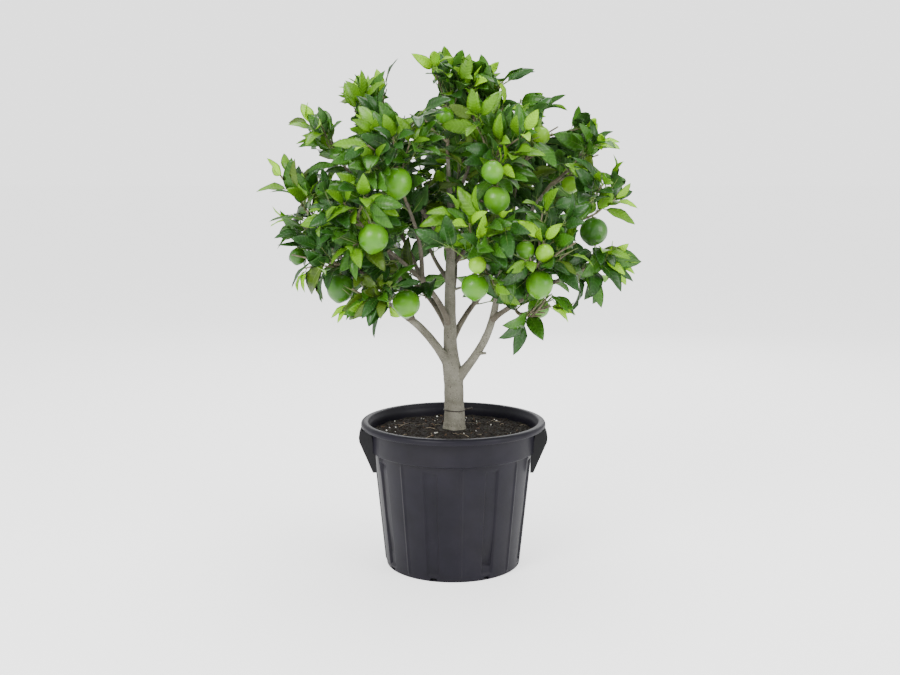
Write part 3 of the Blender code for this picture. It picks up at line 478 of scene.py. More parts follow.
def plasticFinishes():
    # Charcoal plastic with a fine moulded grain: faintly dusty on the pot, and a darker copy on the handles
    # that is painted shade
    tones = (0.0062, 0.0054, 0.0100), (0.0108, 0.0094, 0.0165)
    shell = Finish("potPlastic", 0.44, *tones, 22.0, 0.3, 0.7, 4.0, Specular_IOR_Level=0.22)
    dust = shell.group("mottle", Scale=9.0, Low=0.52, High=0.80, Detail=6.0)
    shell.over(shell.faded(dust.outputs["Height"], 0.03), (0.20, 0.18, 0.15))
    # The handles' plastic is the pot's plastic made darker: painted shade
    tones = (0.0030, 0.0030, 0.0040), (0.0055, 0.0055, 0.0070)
    handle = Finish("handlePlasticPaintedShade", 0.5, *tones, 30.0, Specular_IOR_Level=0.28)
    for plastic in (shell, handle):
        grain = plastic.group("pores", Scale=900.0, Width=0.6)
        plastic.bump(grain.outputs["Height"], 0.12, 0.0003)
    return {"potPlastic": shell.material, "handlePlasticPaintedShade": handle.material}


def makeFinishes():
    # Every finish by its name
    made = plasticFinishes()
    for tone in leafColours:
        made.update(bothSidesOfLeaf(tone))
    for names, kind in ((plainFinishes, plainFinish), (barkColours, barkFinish), (limeColours, peelFinish)):
        made.update({name: kind(name) for name in names})
    soil = Finish("soil", 0.95, (0.0035, 0.0024, 0.0016), (0.018, 0.0115, 0.006), 130.0, 0.3, 0.7, 8.0)
    soil.spots(240.0, 0.10, (0.11, 0.085, 0.055))
    soil.bump(soil.grain, 1.0, 0.0025)
    wire = Finish("tieWire", 0.45, (0.03, 0.027, 0.024), (0.10, 0.085, 0.07), 300.0, Metallic=0.6)
    made.update({"soil": soil.material, "tieWire": wire.material})
    return made


finishes = makeFinishes()
print("finishes made:", len(finishes))


def makeCamera():
    # A level camera tipped down towards the tree
    data = bpy.data.cameras.new("photoCamera")
    data.lens = cameraSettings["lens"]
    data.sensor_width = cameraSettings["sensorWidth"]
    camera = addObject("photoCamera", data)
    camera.location = cameraSettings["place"]
    camera.rotation_euler = (math.radians(90 - cameraSettings["downDeg"]), 0, 0)
    bpy.context.scene.camera = camera


def asSeen(tree, strength, levels):
    # A strength of one level for light on the plant and another where the camera looks at it
    seen = tree.nodes.new("ShaderNodeLightPath")
    level = tree.nodes.new("ShaderNodeMapRange")
    level.inputs["To Min"].default_value = levels[0]
    level.inputs["To Max"].default_value = levels[1]
    tree.links.new(seen.outputs["Is Camera Ray"], level.inputs["Value"])
    tree.links.new(level.outputs["Result"], strength)


def makeFloor():
    # One flat square that glows, as a white sheet under a studio lamp does
    s = studioSettings
    size = s["floorSize"]
    mesh = bpy.data.meshes.new("floor")
    corners = [(-size, -size, 0), (size, -size, 0), (size, size, 0), (-size, size, 0)]
    mesh.from_pydata(corners, [], [(0, 1, 2, 3)])
    material = bpy.data.materials.new("paleFloor")
    material.use_nodes = True
    shader = material.node_tree.nodes["Principled BSDF"]
    shader.inputs["Base Color"].default_value = (*s["floorColour"], 1)
    shader.inputs["Roughness"].default_value = s["floorRoughness"]
    shader.inputs["Emission Color"].default_value = (1, 1, 1, 1)
    asSeen(material.node_tree, shader.inputs["Emission Strength"], s["floorGlow"])
    mesh.materials.append(material)
    addObject("floor", mesh)


def makeLight():
    # Square soft lights aimed at the crown, and an even sky as bright as the floor where it is seen
    s = studioSettings
    for i, (place, aim, width, power) in enumerate(s["lights"]):
        data = bpy.data.lights.new(f"softLight{i}", "AREA")
        data.size = width
        data.energy = power
        light = addObject(f"softLight{i}", data)
        light.location = place
        light.rotation_euler = (Vector(aim) - Vector(place)).to_track_quat("-Z", "Y").to_euler()
    world = bpy.data.worlds.new("studio")
    world.use_nodes = True
    sky = world.node_tree.nodes["Background"]
    sky.inputs["Color"].default_value = (*s["worldColour"], 1)
    asSeen(world.node_tree, sky.inputs["Strength"], s["worldStrength"])
    bpy.context.scene.world = world


makeCamera()
makeFloor()
makeLight()
print("camera and studio set")

# Pot: the same driving sizes as the solid, with a finer section
potSettings = {
    "height": 0.2535,
    "rimRadius": 0.160,
    "collarFoot": 0.2045,
    "bodyTop": 0.2005,
    "bodyTopRadius": 0.1365,
    "baseRadius": 0.1168,
    "turns": 720,
    "grooves": 8,
    "firstGrooveDeg": -61.5,
    "grooveHalfDeg": 5.0,
    "grooveDepth": 0.0031,
    "grooveFoot": 0.009,
    "grooveTop": 0.1925,
    "grooveFade": 0.004,
    "grooveEdgeDeg": (0.7, 0.3),
    "ribHeight": 0.0017,
    "ribHalfDeg": 0.85,
    "ribFoot": (0.004, 0.010),
    "ribTop": (0.194, 0.199),
    "drainHalfDeg": 2.75,
    "drainHeight": 0.006,
    "drainReach": 0.010,
    "drainFrom": 0.1145,
    "drainLip": 0.0007,
    "drainEdgeDeg": 0.6,
    "drainFade": 0.001,
    "wallFrom": 0.0005,
    "seamDeg": -89.0,
    "seamHalfDeg": 0.6,
    "seamHeight": 0.00025,
    "wobble": 0.00025,
}


def awayFrom(angleDeg, firstDeg, count):
    # How many degrees an angle lies from the nearest of evenly spaced ones
    step = 360 / count
    return np.abs((angleDeg - firstDeg + step / 2) % step - step / 2)


def potSection():
    # Radius and height, up the outside from the middle of the foot, and down the inside from the rim
    s = potSettings
    top, rim, foot, body, collar = s["height"], s["rimRadius"], s["baseRadius"], s["bodyTop"], s["collarFoot"]
    outside = [(0, 0), (0.04, 0), (0.08, 0), (0.100, 0)]
    outside += straight((0.103, 0), (foot - 0.002, 0), 5)
    outside += arc(foot - 0.002, 0.002, 0.002, -90, 0, 5)  # foot edge
    outside += straight((foot + 0.0001, 0.003), (s["bodyTopRadius"], body - 0.0015), 60)
    outside += arc(s["bodyTopRadius"] + 0.0018, body - 0.0008, 0.0018, 180, 95, 5)  # hollow under the collar
    outside += arc(0.1424, collar + 0.0002, 0.0016, -80, 0, 6)  # collar's lower edge
    outside += straight((0.1441, collar + 0.0024), (0.1452, 0.2415), 10)
    outside += arc(0.1468, 0.2416, 0.0016, 175, 95, 4)  # hollow under the rim
    outside += [(0.1510, 0.2433), (0.1555, 0.2433)]
    outside += arc(rim - 0.0020, 0.2453, 0.0020, -88, 0, 6)  # rim's lower edge
    outside += arc(rim - 0.0060, top - 0.0060, 0.0060, 12, 90, 9)  # rim's roll
    inside = [(0.1520, top)]
    inside += arc(0.1506, top - 0.0040, 0.0040, 92, 165, 7)  # roll into the mouth
    inside += [(0.1456, 0.2480), (0.1440, 0.2455)]
    inside += straight((0.1426, 0.2425), (0.1414, 0.2062), 6)
    inside += [(0.1333, 0.2005), (0.1240, 0.100), (0.1136, 0.005), (0.06, 0.005), (0, 0.005)]
    return np.array(outside + inside), len(outside)


def makePot():
    # The section carried round, pushed in by grooves and drains and out by ribs, a seam and a wobble
    s = potSettings
    profile, outsideCount = potSection()
    angle = 360.0 * np.arange(s["turns"])[:, None] / s["turns"]
    radius = np.tile(profile[:, 0], (s["turns"], 1))
    height = np.tile(profile[:, 1], (s["turns"], 1))
    skin = np.zeros(len(profile))
    skin[:outsideCount] = 1
    wall = skin * (height > s["wallFrom"])
    off = awayFrom(angle, s["firstGrooveDeg"], s["grooves"])
    between = awayFrom(angle, s["firstGrooveDeg"] + 180 / s["grooves"], s["grooves"])
    upGroove = smoothStep(height, s["grooveFoot"], s["grooveFoot"] + s["grooveFade"])
    upGroove = upGroove * (1 - smoothStep(height, s["grooveTop"] - s["grooveFade"], s["grooveTop"]))
    inner, outer = s["grooveEdgeDeg"]
    groove = (1 - smoothStep(off, s["grooveHalfDeg"] - inner, s["grooveHalfDeg"] + outer)) * upGroove
    onBody = smoothStep(height, *s["ribFoot"]) * (1 - smoothStep(height, *s["ribTop"]))
    rib = (1 - smoothStep(between, 0, s["ribHalfDeg"] * 2)) * onBody
    drain = 1 - smoothStep(off, s["drainHalfDeg"] - s["drainEdgeDeg"], s["drainHalfDeg"])
    drain = drain * (1 - smoothStep(height, s["drainHeight"] - s["drainFade"], s["drainHeight"]))
    drain = drain * (radius > s["drainFrom"]) * skin * (height > s["drainLip"])
    seam = 1 - smoothStep(np.abs(angle - (s["seamDeg"] + 360)), 0, s["seamHalfDeg"])
    seam = seam * (height > s["collarFoot"])
    wobble = s["wobble"] * np.sin(np.radians(angle) * 3 + 1.1) * wall
    radius = radius + wall * (rib * s["ribHeight"] - groove * s["grooveDepth"] + seam * s["seamHeight"])
    radius = radius - drain * s["drainReach"] + wobble
    points, faces = turnedShell(radius, height)
    makePiece("potShell", points, faces, [finishes["potPlastic"]], ["pot"])


handleSettings = {
    "mergeWithin": 1e-5,
    "flatDeg": 3,
    "round": 0.0009,
    "roundSteps": 3,
    "roundFromDeg": 30,
    "sharpFromDeg": 50,
}


def makeHandles():
    # A merged copy of each handle's solid, with its edges rounded
    s = handleSettings
    for side in ("left", "right"):
        node = f"pot_handle_{side}"
        work = bmesh.new()
        work.from_mesh(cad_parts[node].data)
        bmesh.ops.remove_doubles(work, verts=work.verts, dist=s["mergeWithin"])
        flat = math.radians(s["flatDeg"])
        bmesh.ops.dissolve_limit(work, angle_limit=flat, verts=work.verts, edges=work.edges)
        mesh = bpy.data.meshes.new(f"handle{side.title()}")
        work.to_mesh(mesh)
        work.free()
        # The darker copy of the pot's plastic: painted shade
        mesh.materials.append(finishes["handlePlasticPaintedShade"])
        mesh.shade_smooth()
        mesh.set_sharp_from_angle(angle=math.radians(s["sharpFromDeg"]))
        handle = placePiece(f"handle{side.title()}", mesh, [node])
        bevel = handle.modifiers.new("round", "BEVEL")
        bevel.width = s["round"]
        bevel.segments = s["roundSteps"]
        bevel.limit_method = "ANGLE"
        bevel.angle_limit = math.radians(s["roundFromDeg"])


makePot()
makeHandles()
print("pot and handles made")

# Soil: heaped a little to the trunk, with crumbs, white grains, chips and fibres on it
soilSettings = {
    "edgeLevel": 0.2315,
    "level": 0.2375,
    "flatRadius": 0.034,
    "edgeRadius": 0.1412,
    "underside": ((0, 0.0054), (0.1132, 0.0054), (0.1330, 0.2002), (0.1410, 0.2066)),
    "turns": 260,
    "rings": 90,
    "roughness": 0.0016,
    "trunkClear": 0.026,
    "wallClear": 0.004,
    "sunk": 0.15,
    "seed": 5,
}

# piece: count, smallest and largest size, squeeze, finish
litterKinds = {
    "soilCrumbs": (1500, 0.0008, 0.0026, (1, 0.9, 0.8), "soilCrumb"),
    "perliteGrains": (62, 0.0008, 0.0022, (1, 0.9, 0.85), "perlite"),
    "barkChips": (60, 0.0022, 0.0055, (1, 0.5, 0.28), "barkChip"),
}

fibreSettings = {
    "count": 26,
    "stations": 12,
    "bend": 2.0,
    "length": (0.012, 0.042),
    "lift": 0.0006,
    "hump": 0.0022,
    "radii": (0.00055, 0.00025),
    "trunkClear": 0.024,
    "wallClear": 0.003,
}


def soilHeight(x, y):
    # Level by the trunk, sloping to the wall, plus waves of three sizes
    s = soilSettings
    away = np.hypot(x, y)
    slope = smoothStep(away, s["flatRadius"] * 0.6, s["edgeRadius"])
    flat = np.stack([x, y, np.zeros_like(x)], -1)
    rough = waves(flat, 0.030, 1) * 0.9 + waves(flat, 0.011, 2) * 0.6 + waves(flat, 0.0045, 3, 12) * 0.5
    calm = smoothStep(away, s["flatRadius"] * 0.5, s["flatRadius"] * 1.2) * 0.7 + 0.3
    return s["level"] + (s["edgeLevel"] - s["level"]) * slope + rough * calm * s["roughness"] * 0.6


def makeSoil():
    # The inside of the pot carried round, closed by rings of the rough surface
    s = soilSettings
    turns, low = s["turns"], np.array(s["underside"])
    top = np.linspace(0, s["edgeRadius"], s["rings"])[::-1]
    angle = 2 * np.pi * np.arange(turns)[:, None] / turns
    radius = np.tile(np.concatenate([low[:, 0], top]), (turns, 1))
    height = soilHeight(radius * np.cos(angle), radius * np.sin(angle))
    height[:, :len(low)] = low[:, 1]
    points, faces = turnedShell(radius, height)
    makePiece("soilBed", points, faces, [finishes["soil"]], ["soil"])


def scatterOnSoil(rng, count):
    # Even places on the soil's disc, off the trunk: the root of a random square, and a random turn
    s = soilSettings
    away = np.sqrt(rng.uniform(s["trunkClear"]**2, (s["edgeRadius"] - s["wallClear"])**2, count))
    turn = rng.uniform(0, 2 * np.pi, count)
    x, y = away * np.cos(turn), away * np.sin(turn)
    return np.stack([x, y, soilHeight(x, y)], -1)


def lumps(centres, sizes, flatness, rng):
    # A 20-faced ball for each centre, squeezed, turned and knocked out of round
    golden = (1 + math.sqrt(5)) / 2
    corners = np.array([
        (-1, golden, 0), (1, golden, 0), (-1, -golden, 0), (1, -golden, 0), (0, -1, golden), (0, 1, golden),
        (0, -1, -golden), (0, 1, -golden), (golden, 0, -1), (golden, 0, 1), (-golden, 0, -1), (-golden, 0, 1),
    ])
    corners = unit(corners)
    sides = np.array([
        (0, 11, 5), (0, 5, 1), (0, 1, 7), (0, 7, 10), (0, 10, 11), (1, 5, 9), (5, 11, 4), (11, 10, 2),
        (10, 7, 6), (7, 1, 8), (3, 9, 4), (3, 4, 2), (3, 2, 6), (3, 6, 8), (3, 8, 9), (4, 9, 5),
        (2, 4, 11), (6, 2, 10), (8, 6, 7), (9, 8, 1),
    ])
    count = len(centres)
    shape = corners * rng.uniform(0.7, 1.2, (count, 12, 1)) * flatness
    frames, _ = np.linalg.qr(rng.normal(size=(count, 3, 3)))
    frames = frames * np.sign(np.linalg.det(frames))[:, None, None]
    points = centres[:, None] + np.einsum("nij,nkj->nki", frames, shape) * sizes[:, None, None]
    faces = sides + 12 * np.arange(count)[:, None, None]
    return points.reshape(-1, 3), [faces.reshape(-1, 3)]


def makeLitter(rng):
    # Lumps of each kind, sunk a little into the soil
    for name, (count, small, large, squeeze, finish) in litterKinds.items():
        centres = scatterOnSoil(rng, count)
        sizes = rng.uniform(small, large, count)
        centres[:, 2] += sizes * soilSettings["sunk"]
        points, faces = lumps(centres, sizes, np.array(squeeze), rng)
        makePiece(name, points, faces, [finishes[finish]])


def makeFibres(rng):
    # Each a run of short steps whose heading turns evenly, in a low hump over the soil
    s = fibreSettings
    count, stations = s["count"], s["stations"]
    start = scatterOnSoil(rng, count)
    heading = rng.uniform(0, 2 * np.pi, count)
    along = np.linspace(0, 1, stations)
    bend = rng.uniform(-s["bend"], s["bend"], count)
    length = rng.uniform(*s["length"], count)
    turn = heading[:, None] + bend[:, None] * along
    x = start[:, :1] + np.cumsum(np.cos(turn), 1) * length[:, None] / stations
    y = start[:, 1:2] + np.cumsum(np.sin(turn), 1) * length[:, None] / stations
    away = np.hypot(x, y)
    keep = ((away < soilSettings["edgeRadius"] - s["wallClear"]) & (away > s["trunkClear"])).all(1)
    lift = s["lift"] + s["hump"] * np.sin(np.pi * along) * rng.uniform(0, 1, count)[:, None]
    paths = np.stack([x, y, soilHeight(x, y) + lift], -1)[keep]
    points, faces = tubes(paths, np.tile(np.linspace(*s["radii"], stations), (len(paths), 1)), 4)
    makePiece("rootFibres", points, faces, [finishes["rootFibre"]])


soilRng = np.random.default_rng(soilSettings["seed"])
makeSoil()
makeLitter(soilRng)
makeFibres(soilRng)
print("soil made")

# Limbs: the same centre lines as the solids
# height above the ground, lean and radius of the trunk
trunkProfile = (
    (0.2378, 0.0030, 0.0198),
    (0.2445, 0.0030, 0.0188),
    (0.256, 0.0027, 0.0180),
    (0.285, 0.0015, 0.0170),
    (0.325, 0.0005, 0.0165),
    (0.352, -0.0030, 0.0150),
    (0.385, -0.0050, 0.0118),
    (0.440, -0.0052, 0.0100),
    (0.500, -0.0050, 0.0088),
    (0.556, -0.0042, 0.0072),
    (0.600, -0.0045, 0.0056),
    (0.650, -0.0065, 0.0044),
    (0.700, -0.0090, 0.0032),
)

# parent, height where it leaves, tip, bow, foot radius, tip radius
boughs = {
    "right": ("trunk", 0.318, (0.152, 0.000, 0.640), (-0.002, -0.026, -0.006), 0.0086, 0.0033),
    "left": ("trunk", 0.342, (-0.190, -0.062, 0.545), (0.002, -0.012, 0.006), 0.0086, 0.0033),
    "left_inner": ("trunk", 0.415, (-0.104, -0.094, 0.552), (0.016, 0.004, 0.000), 0.0062, 0.0030),
    "upper_left": ("trunk", 0.547, (-0.100, -0.012, 0.690), (0.000, -0.006, -0.004), 0.0052, 0.0028),
    "front_right": ("trunk", 0.549, (0.050, -0.070, 0.640), (0.004, 0.006, -0.006), 0.0046, 0.0027),
    "centre_left": ("trunk", 0.492, (-0.046, 0.036, 0.566), (-0.006, 0.006, 0.000), 0.0044, 0.0027),
    "centre_right": ("trunk", 0.515, (0.046, 0.044, 0.590), (0.004, 0.006, 0.000), 0.0044, 0.0027),
    "top_right": ("trunk", 0.622, (0.034, 0.018, 0.716), (0.004, 0.002, -0.004), 0.0036, 0.0026),
    "back_left": ("trunk", 0.405, (-0.104, 0.090, 0.508), (0.010, -0.004, 0.008), 0.0062, 0.0030),
    "back_right": ("trunk", 0.385, (0.100, 0.094, 0.498), (-0.010, -0.004, 0.010), 0.0062, 0.0030),
    "back": ("trunk", 0.462, (0.004, 0.130, 0.552), (0.004, 0.000, -0.010), 0.0054, 0.0028),
    "back_high": ("trunk", 0.585, (0.010, 0.090, 0.676), (0.000, 0.000, -0.006), 0.0042, 0.0027),
    "right_low": ("right", 0.432, (0.180, -0.072, 0.506), (-0.002, -0.010, 0.004), 0.0050, 0.0029),
    "right_mid": ("right", 0.576, (0.184, -0.052, 0.588), (0.000, -0.006, -0.006), 0.0042, 0.0027),
    "right_top": ("right", 0.545, (0.116, 0.026, 0.680), (-0.006, 0.004, 0.004), 0.0042, 0.0027),
    "right_crest": ("right_top", 0.610, (0.088, 0.046, 0.716), (-0.004, 0.006, 0.000), 0.0034, 0.0026),
    "low_front": ("right", 0.470, (0.112, -0.120, 0.506), (0.000, -0.004, 0.008), 0.0044, 0.0027),
    "left_up": ("left", 0.432, (-0.148, -0.034, 0.634), (0.010, -0.004, -0.004), 0.0056, 0.0029),
    "left_low": ("left_up", 0.500, (-0.158, -0.088, 0.520), (0.000, -0.004, -0.004), 0.0042, 0.0027),
    "front_left": ("left_inner", 0.500, (-0.076, -0.106, 0.632), (0.008, 0.006, 0.000), 0.0042, 0.0027),
    "front": ("front_right", 0.577, (0.034, -0.128, 0.552), (0.004, -0.004, 0.010), 0.0038, 0.0026),
    "back_left_up": ("back_left", 0.462, (-0.112, 0.098, 0.606), (0.004, -0.008, 0.000), 0.0046, 0.0028),
    "back_right_up": ("back_right", 0.452, (0.116, 0.104, 0.600), (-0.004, -0.008, 0.000), 0.0046, 0.0028),
    "spur_left": ("left", 0.462, (-0.104, -0.092, 0.470), (0.000, -0.002, 0.003), 0.0036, 0.0025),
    "spur_right": ("right_low", 0.456, (0.104, -0.088, 0.452), (0.000, -0.002, 0.003), 0.0036, 0.0025),
}

# the S of the two main boughs
sway = {
    "right": (0.016, 0.000, 0.000),
    "left": (0.000, 0.000, 0.012),
}

limbSettings = {
    "step": 0.042,
    "stations": 90,
    "sides": 28,
    "relief": 0.028,
    "lumpSpread": 0.012,
    "ringSpacing": 0.0065,
    "ringShare": 0.35,
    "flareLobes": 0.10,
    "flareFrom": 0.242,
    "flareTo": 0.275,
    "collar": 0.42,
    "collarReach": 16,
    "cloudSpacing": 0.003,
    "thick": ("trunk", "left", "right"),
    # height, width and swell of the knots where the main boughs leave the trunk
    "knots": ((0.326, 0.006, 0.03), (0.340, 0.012, 0.05), (0.405, 0.010, 0.03)),
}


def limbAtHeight(limb, height):
    # The point at a height, read straight between the centre line's points
    for low, high in zip(limb["points"], limb["points"][1:]):
        if low.z <= height <= high.z:
            return low.lerp(high, (height - low.z) / (high.z - low.z))


def layOutLimbs():
    # Straight to the tip, plus a bow of one half wave and a sway of one whole wave
    made = {
        "trunk": {
            "points": [Vector((lean, 0, height)) for height, lean, _ in trunkProfile],
            "radii": [radius for _, _, radius in trunkProfile],
        }
    }
    for name, (parent, height, tip, bow, footRadius, tipRadius) in boughs.items():
        start = limbAtHeight(made[parent], height)
        tip, bow, swing = Vector(tip), Vector(bow), Vector(sway.get(name, (0, 0, 0)))
        steps = max(4, round((tip - start).length / limbSettings["step"]))
        points, radii = [], []
        for u in [i / steps for i in range(steps + 1)]:
            bowed = start.lerp(tip, u) + bow * math.sin(math.pi * u)
            points.append(bowed + swing * math.sin(2 * math.pi * u))
            radii.append(footRadius + (tipRadius - footRadius) * u**0.75)
        made[name] = {"points": points, "radii": radii}
    return made


def limbSurface(name, limb, seed):
    # A tube on the centre line whose radius carries lumps, rings, fissures and a swollen foot
    s = limbSettings
    path, radius = smoothPath(limb["points"], limb["radii"], s["stations"])
    turn = 2 * np.pi * np.arange(s["sides"]) / s["sides"]
    spread = np.stack([np.cos(turn), np.sin(turn), turn * 0], -1)[None] * s["lumpSpread"]
    around = path[:, None] + spread
    lumpy = waves(around, 0.030, seed) * 0.6 + waves(around, 0.009, seed + 1) * 0.4
    rings = np.sin(path[:, 2] * 2 * np.pi / s["ringSpacing"] + waves(path, 0.03, seed + 2))[:, None]
    relief = 1 + s["relief"] * (lumpy + s["ringShare"] * rings)
    if name == "trunk":
        lobes = np.sin(turn * 5 + 0.7)[None] * 0.6 + np.sin(turn * 3 + 2.1)[None] * 0.4
        low = 1 - smoothStep(path[:, 2], s["flareFrom"], s["flareTo"])
        relief = relief + s["flareLobes"] * lobes * low[:, None]
        for height, width, swell in s["knots"]:
            relief = relief + (swell * np.exp(-((path[:, 2] - height) / width) ** 2))[:, None]
    else:
        share = np.linspace(0, 1, s["stations"])
        relief = relief + (np.exp(-(share * s["collarReach"]) ** 2) * s["collar"])[:, None]
    return path[None], (radius[:, None] * relief)[None]


def makeLimbs():
    # A bark of its own for the trunk and each bough, in the solid's place
    for i, (name, limb) in enumerate(limbs.items()):
        path, radii = limbSurface(name, limb, 40 + 3 * i)
        points, faces = tubes(path, radii, limbSettings["sides"])
        node = "trunk" if name == "trunk" else f"bough_{name}"
        piece = "trunkBark" if name == "trunk" else f"bark_{name}"
        bark = finishes["bark" if name in limbSettings["thick"] else "barkThin"]
        makePiece(piece, points, faces, [bark], [node])


# start, tip, radius: cut twig ends that the photo shows on the trunk and the right bough
stubs = (
    ((-0.005, 0.000, 0.478), (0.016, -0.006, 0.4845), 0.0021),
    ((0.040, -0.018, 0.372), (0.056, -0.024, 0.3735), 0.0024),
)


def makeStubs():
    # A short straight tube for each, half as thick again at its foot
    starts, tips, sizes = (np.array(column) for column in zip(*stubs))
    share = np.linspace(0, 1, 10)
    paths = starts[:, None] + (tips - starts)[:, None] * share[:, None]
    points, faces = tubes(paths, sizes[:, None] * np.linspace(1.5, 0.85, 10), 10)
    makePiece("cutStubs", points, faces, [finishes["bark"]])


tieSettings = {
    "level": 0.271,
    "radius": 0.0183,
    "wire": 0.0009,
    "tail": 0.013,
    "twists": 3.0,
    "gap": 0.06,
    "loopSteps": 90,
    "tailSteps": 40,
    "sides": 8,
}


def makeTie():
    # One loop round the trunk, closing in two ends that twist round each other on the right
    s = tieSettings
    centre = np.array(limbAtHeight(limbs["trunk"], s["level"]))
    turn = np.linspace(s["gap"], 2 * np.pi - s["gap"], s["loopSteps"])
    loop = np.stack([np.cos(turn) * s["radius"], np.sin(turn) * s["radius"], 0.0006 * np.sin(2 * turn)], -1)
    out = np.linspace(0, 1, s["tailSteps"])
    paths = [loop]
    for phase in (0, np.pi):
        spin = out * s["twists"] * 2 * np.pi + phase
        beside, above = (wave(spin) * s["wire"] * 1.05 for wave in (np.cos, np.sin))
        paths.append(np.stack([s["radius"] + out * s["tail"], beside, above + 0.002 * out], -1))
    blocks = [tubes(path[None] + centre, np.full((1, len(path)), s["wire"]), s["sides"]) for path in paths]
    points, faces = joined(blocks)
    makePiece("wireTie", points, faces, [finishes["tieWire"]], ["trunk_tie"])


limbs = layOutLimbs()
makeLimbs()
makeStubs()
makeTie()
print("limbs made:", len(limbs))

# Growth: limb, heart, lead tip, droop, side shoots, seed of each mass
masses = {
    "right_high": ("right", (0.204, -0.014, 0.668), (0.244, -0.004, 0.708), 0.2, 5, 11),
    "right_mid": ("right_mid", (0.232, -0.062, 0.608), (0.266, -0.052, 0.634), 0.3, 4, 12),
    "right_low": ("right_low", (0.216, -0.085, 0.490), (0.262, -0.072, 0.530), 1.0, 5, 13),
    "right_top": ("right_top", (0.152, 0.016, 0.736), (0.178, 0.024, 0.756), 0.1, 4, 14),
    "right_crest": ("right_crest", (0.104, 0.050, 0.768), (0.122, 0.040, 0.794), 0.1, 4, 35),
    "right_hang": ("spur_right", (0.118, -0.112, 0.426), (0.142, -0.118, 0.448), 1.3, 5, 15),
    "front_right": ("low_front", (0.125, -0.166, 0.540), (0.138, -0.190, 0.575), 0.5, 4, 16),
    "front_high": ("front_right", (0.066, -0.120, 0.684), (0.074, -0.150, 0.724), 0.2, 5, 17),
    "front": ("front", (0.036, -0.180, 0.540), (0.036, -0.196, 0.575), 0.3, 4, 18),
    "left_mid": ("left", (-0.236, -0.062, 0.626), (-0.284, -0.054, 0.672), 0.2, 5, 19),
    "left_low": ("left_low", (-0.222, -0.088, 0.520), (-0.266, -0.068, 0.544), 0.7, 4, 20),
    "left_hang": ("spur_left", (-0.116, -0.120, 0.456), (-0.140, -0.128, 0.462), 1.3, 5, 21),
    "left_high": ("left_up", (-0.192, -0.022, 0.716), (-0.238, -0.020, 0.758), 0.1, 4, 22),
    "front_left_low": ("left_inner", (-0.140, -0.152, 0.592), (-0.168, -0.172, 0.630), 0.4, 4, 23),
    "front_left": ("front_left", (-0.082, -0.145, 0.684), (-0.092, -0.150, 0.732), 0.2, 5, 24),
    "upper_left": ("upper_left", (-0.134, -0.002, 0.758), (-0.156, 0.000, 0.804), 0.1, 5, 25),
    "centre_left": ("centre_left", (-0.070, 0.030, 0.604), (-0.080, 0.030, 0.640), 0.6, 5, 26),
    "centre_right": ("centre_right", (0.078, 0.040, 0.630), (0.082, 0.044, 0.668), 0.5, 5, 36),
    "top": ("trunk", (-0.022, -0.020, 0.780), (-0.012, 0.000, 0.842), 0.1, 5, 27),
    "top_right": ("top_right", (0.050, -0.014, 0.780), (0.052, 0.006, 0.828), 0.1, 5, 28),
    "back_left": ("back_left", (-0.150, 0.134, 0.526), (-0.190, 0.165, 0.545), 0.8, 4, 29),
    "back_right": ("back_right", (0.150, 0.134, 0.518), (0.188, 0.165, 0.535), 0.8, 4, 30),
    "back": ("back", (0.004, 0.190, 0.560), (0.004, 0.235, 0.585), 0.5, 4, 31),
    "back_high": ("back_high", (0.006, 0.140, 0.712), (0.000, 0.185, 0.752), 0.2, 4, 32),
    "back_left_up": ("back_left_up", (-0.142, 0.124, 0.668), (-0.178, 0.146, 0.715), 0.2, 4, 33),
    "back_right_up": ("back_right_up", (0.148, 0.130, 0.658), (0.185, 0.150, 0.705), 0.2, 4, 34),
}

# centre and diameter of each lime
limes = (
    ((-0.087, -0.170, 0.662), 0.047),
    ((-0.123, -0.190, 0.578), 0.046),
    ((-0.183, -0.100, 0.492), 0.045),
    ((-0.076, -0.120, 0.469), 0.045),
    ((0.033, -0.190, 0.503), 0.042),
    ((0.067, -0.170, 0.636), 0.041),
    ((0.059, -0.200, 0.679), 0.034),
    ((0.231, -0.060, 0.582), 0.046),
    ((0.134, -0.170, 0.505), 0.043),
    ((0.140, -0.080, 0.458), 0.036),
    ((0.110, -0.190, 0.560), 0.029),
    ((0.139, -0.200, 0.556), 0.028),
    ((0.036, -0.210, 0.539), 0.027),
    ((-0.014, -0.030, 0.770), 0.030),
    ((0.196, -0.020, 0.658), 0.030),
    ((0.149, 0.020, 0.740), 0.031),
    ((-0.258, -0.050, 0.540), 0.028),
    ((-0.150, 0.160, 0.500), 0.044),
    ((0.160, 0.150, 0.490), 0.044),
    ((0.010, 0.215, 0.535), 0.045),
    ((0.010, 0.170, 0.690), 0.042),
    ((-0.165, 0.140, 0.645), 0.040),
    ((0.165, 0.150, 0.640), 0.043),
)

paleLimes = (11, 12, 14, 15)
deepLimes = (2, 7, 16)

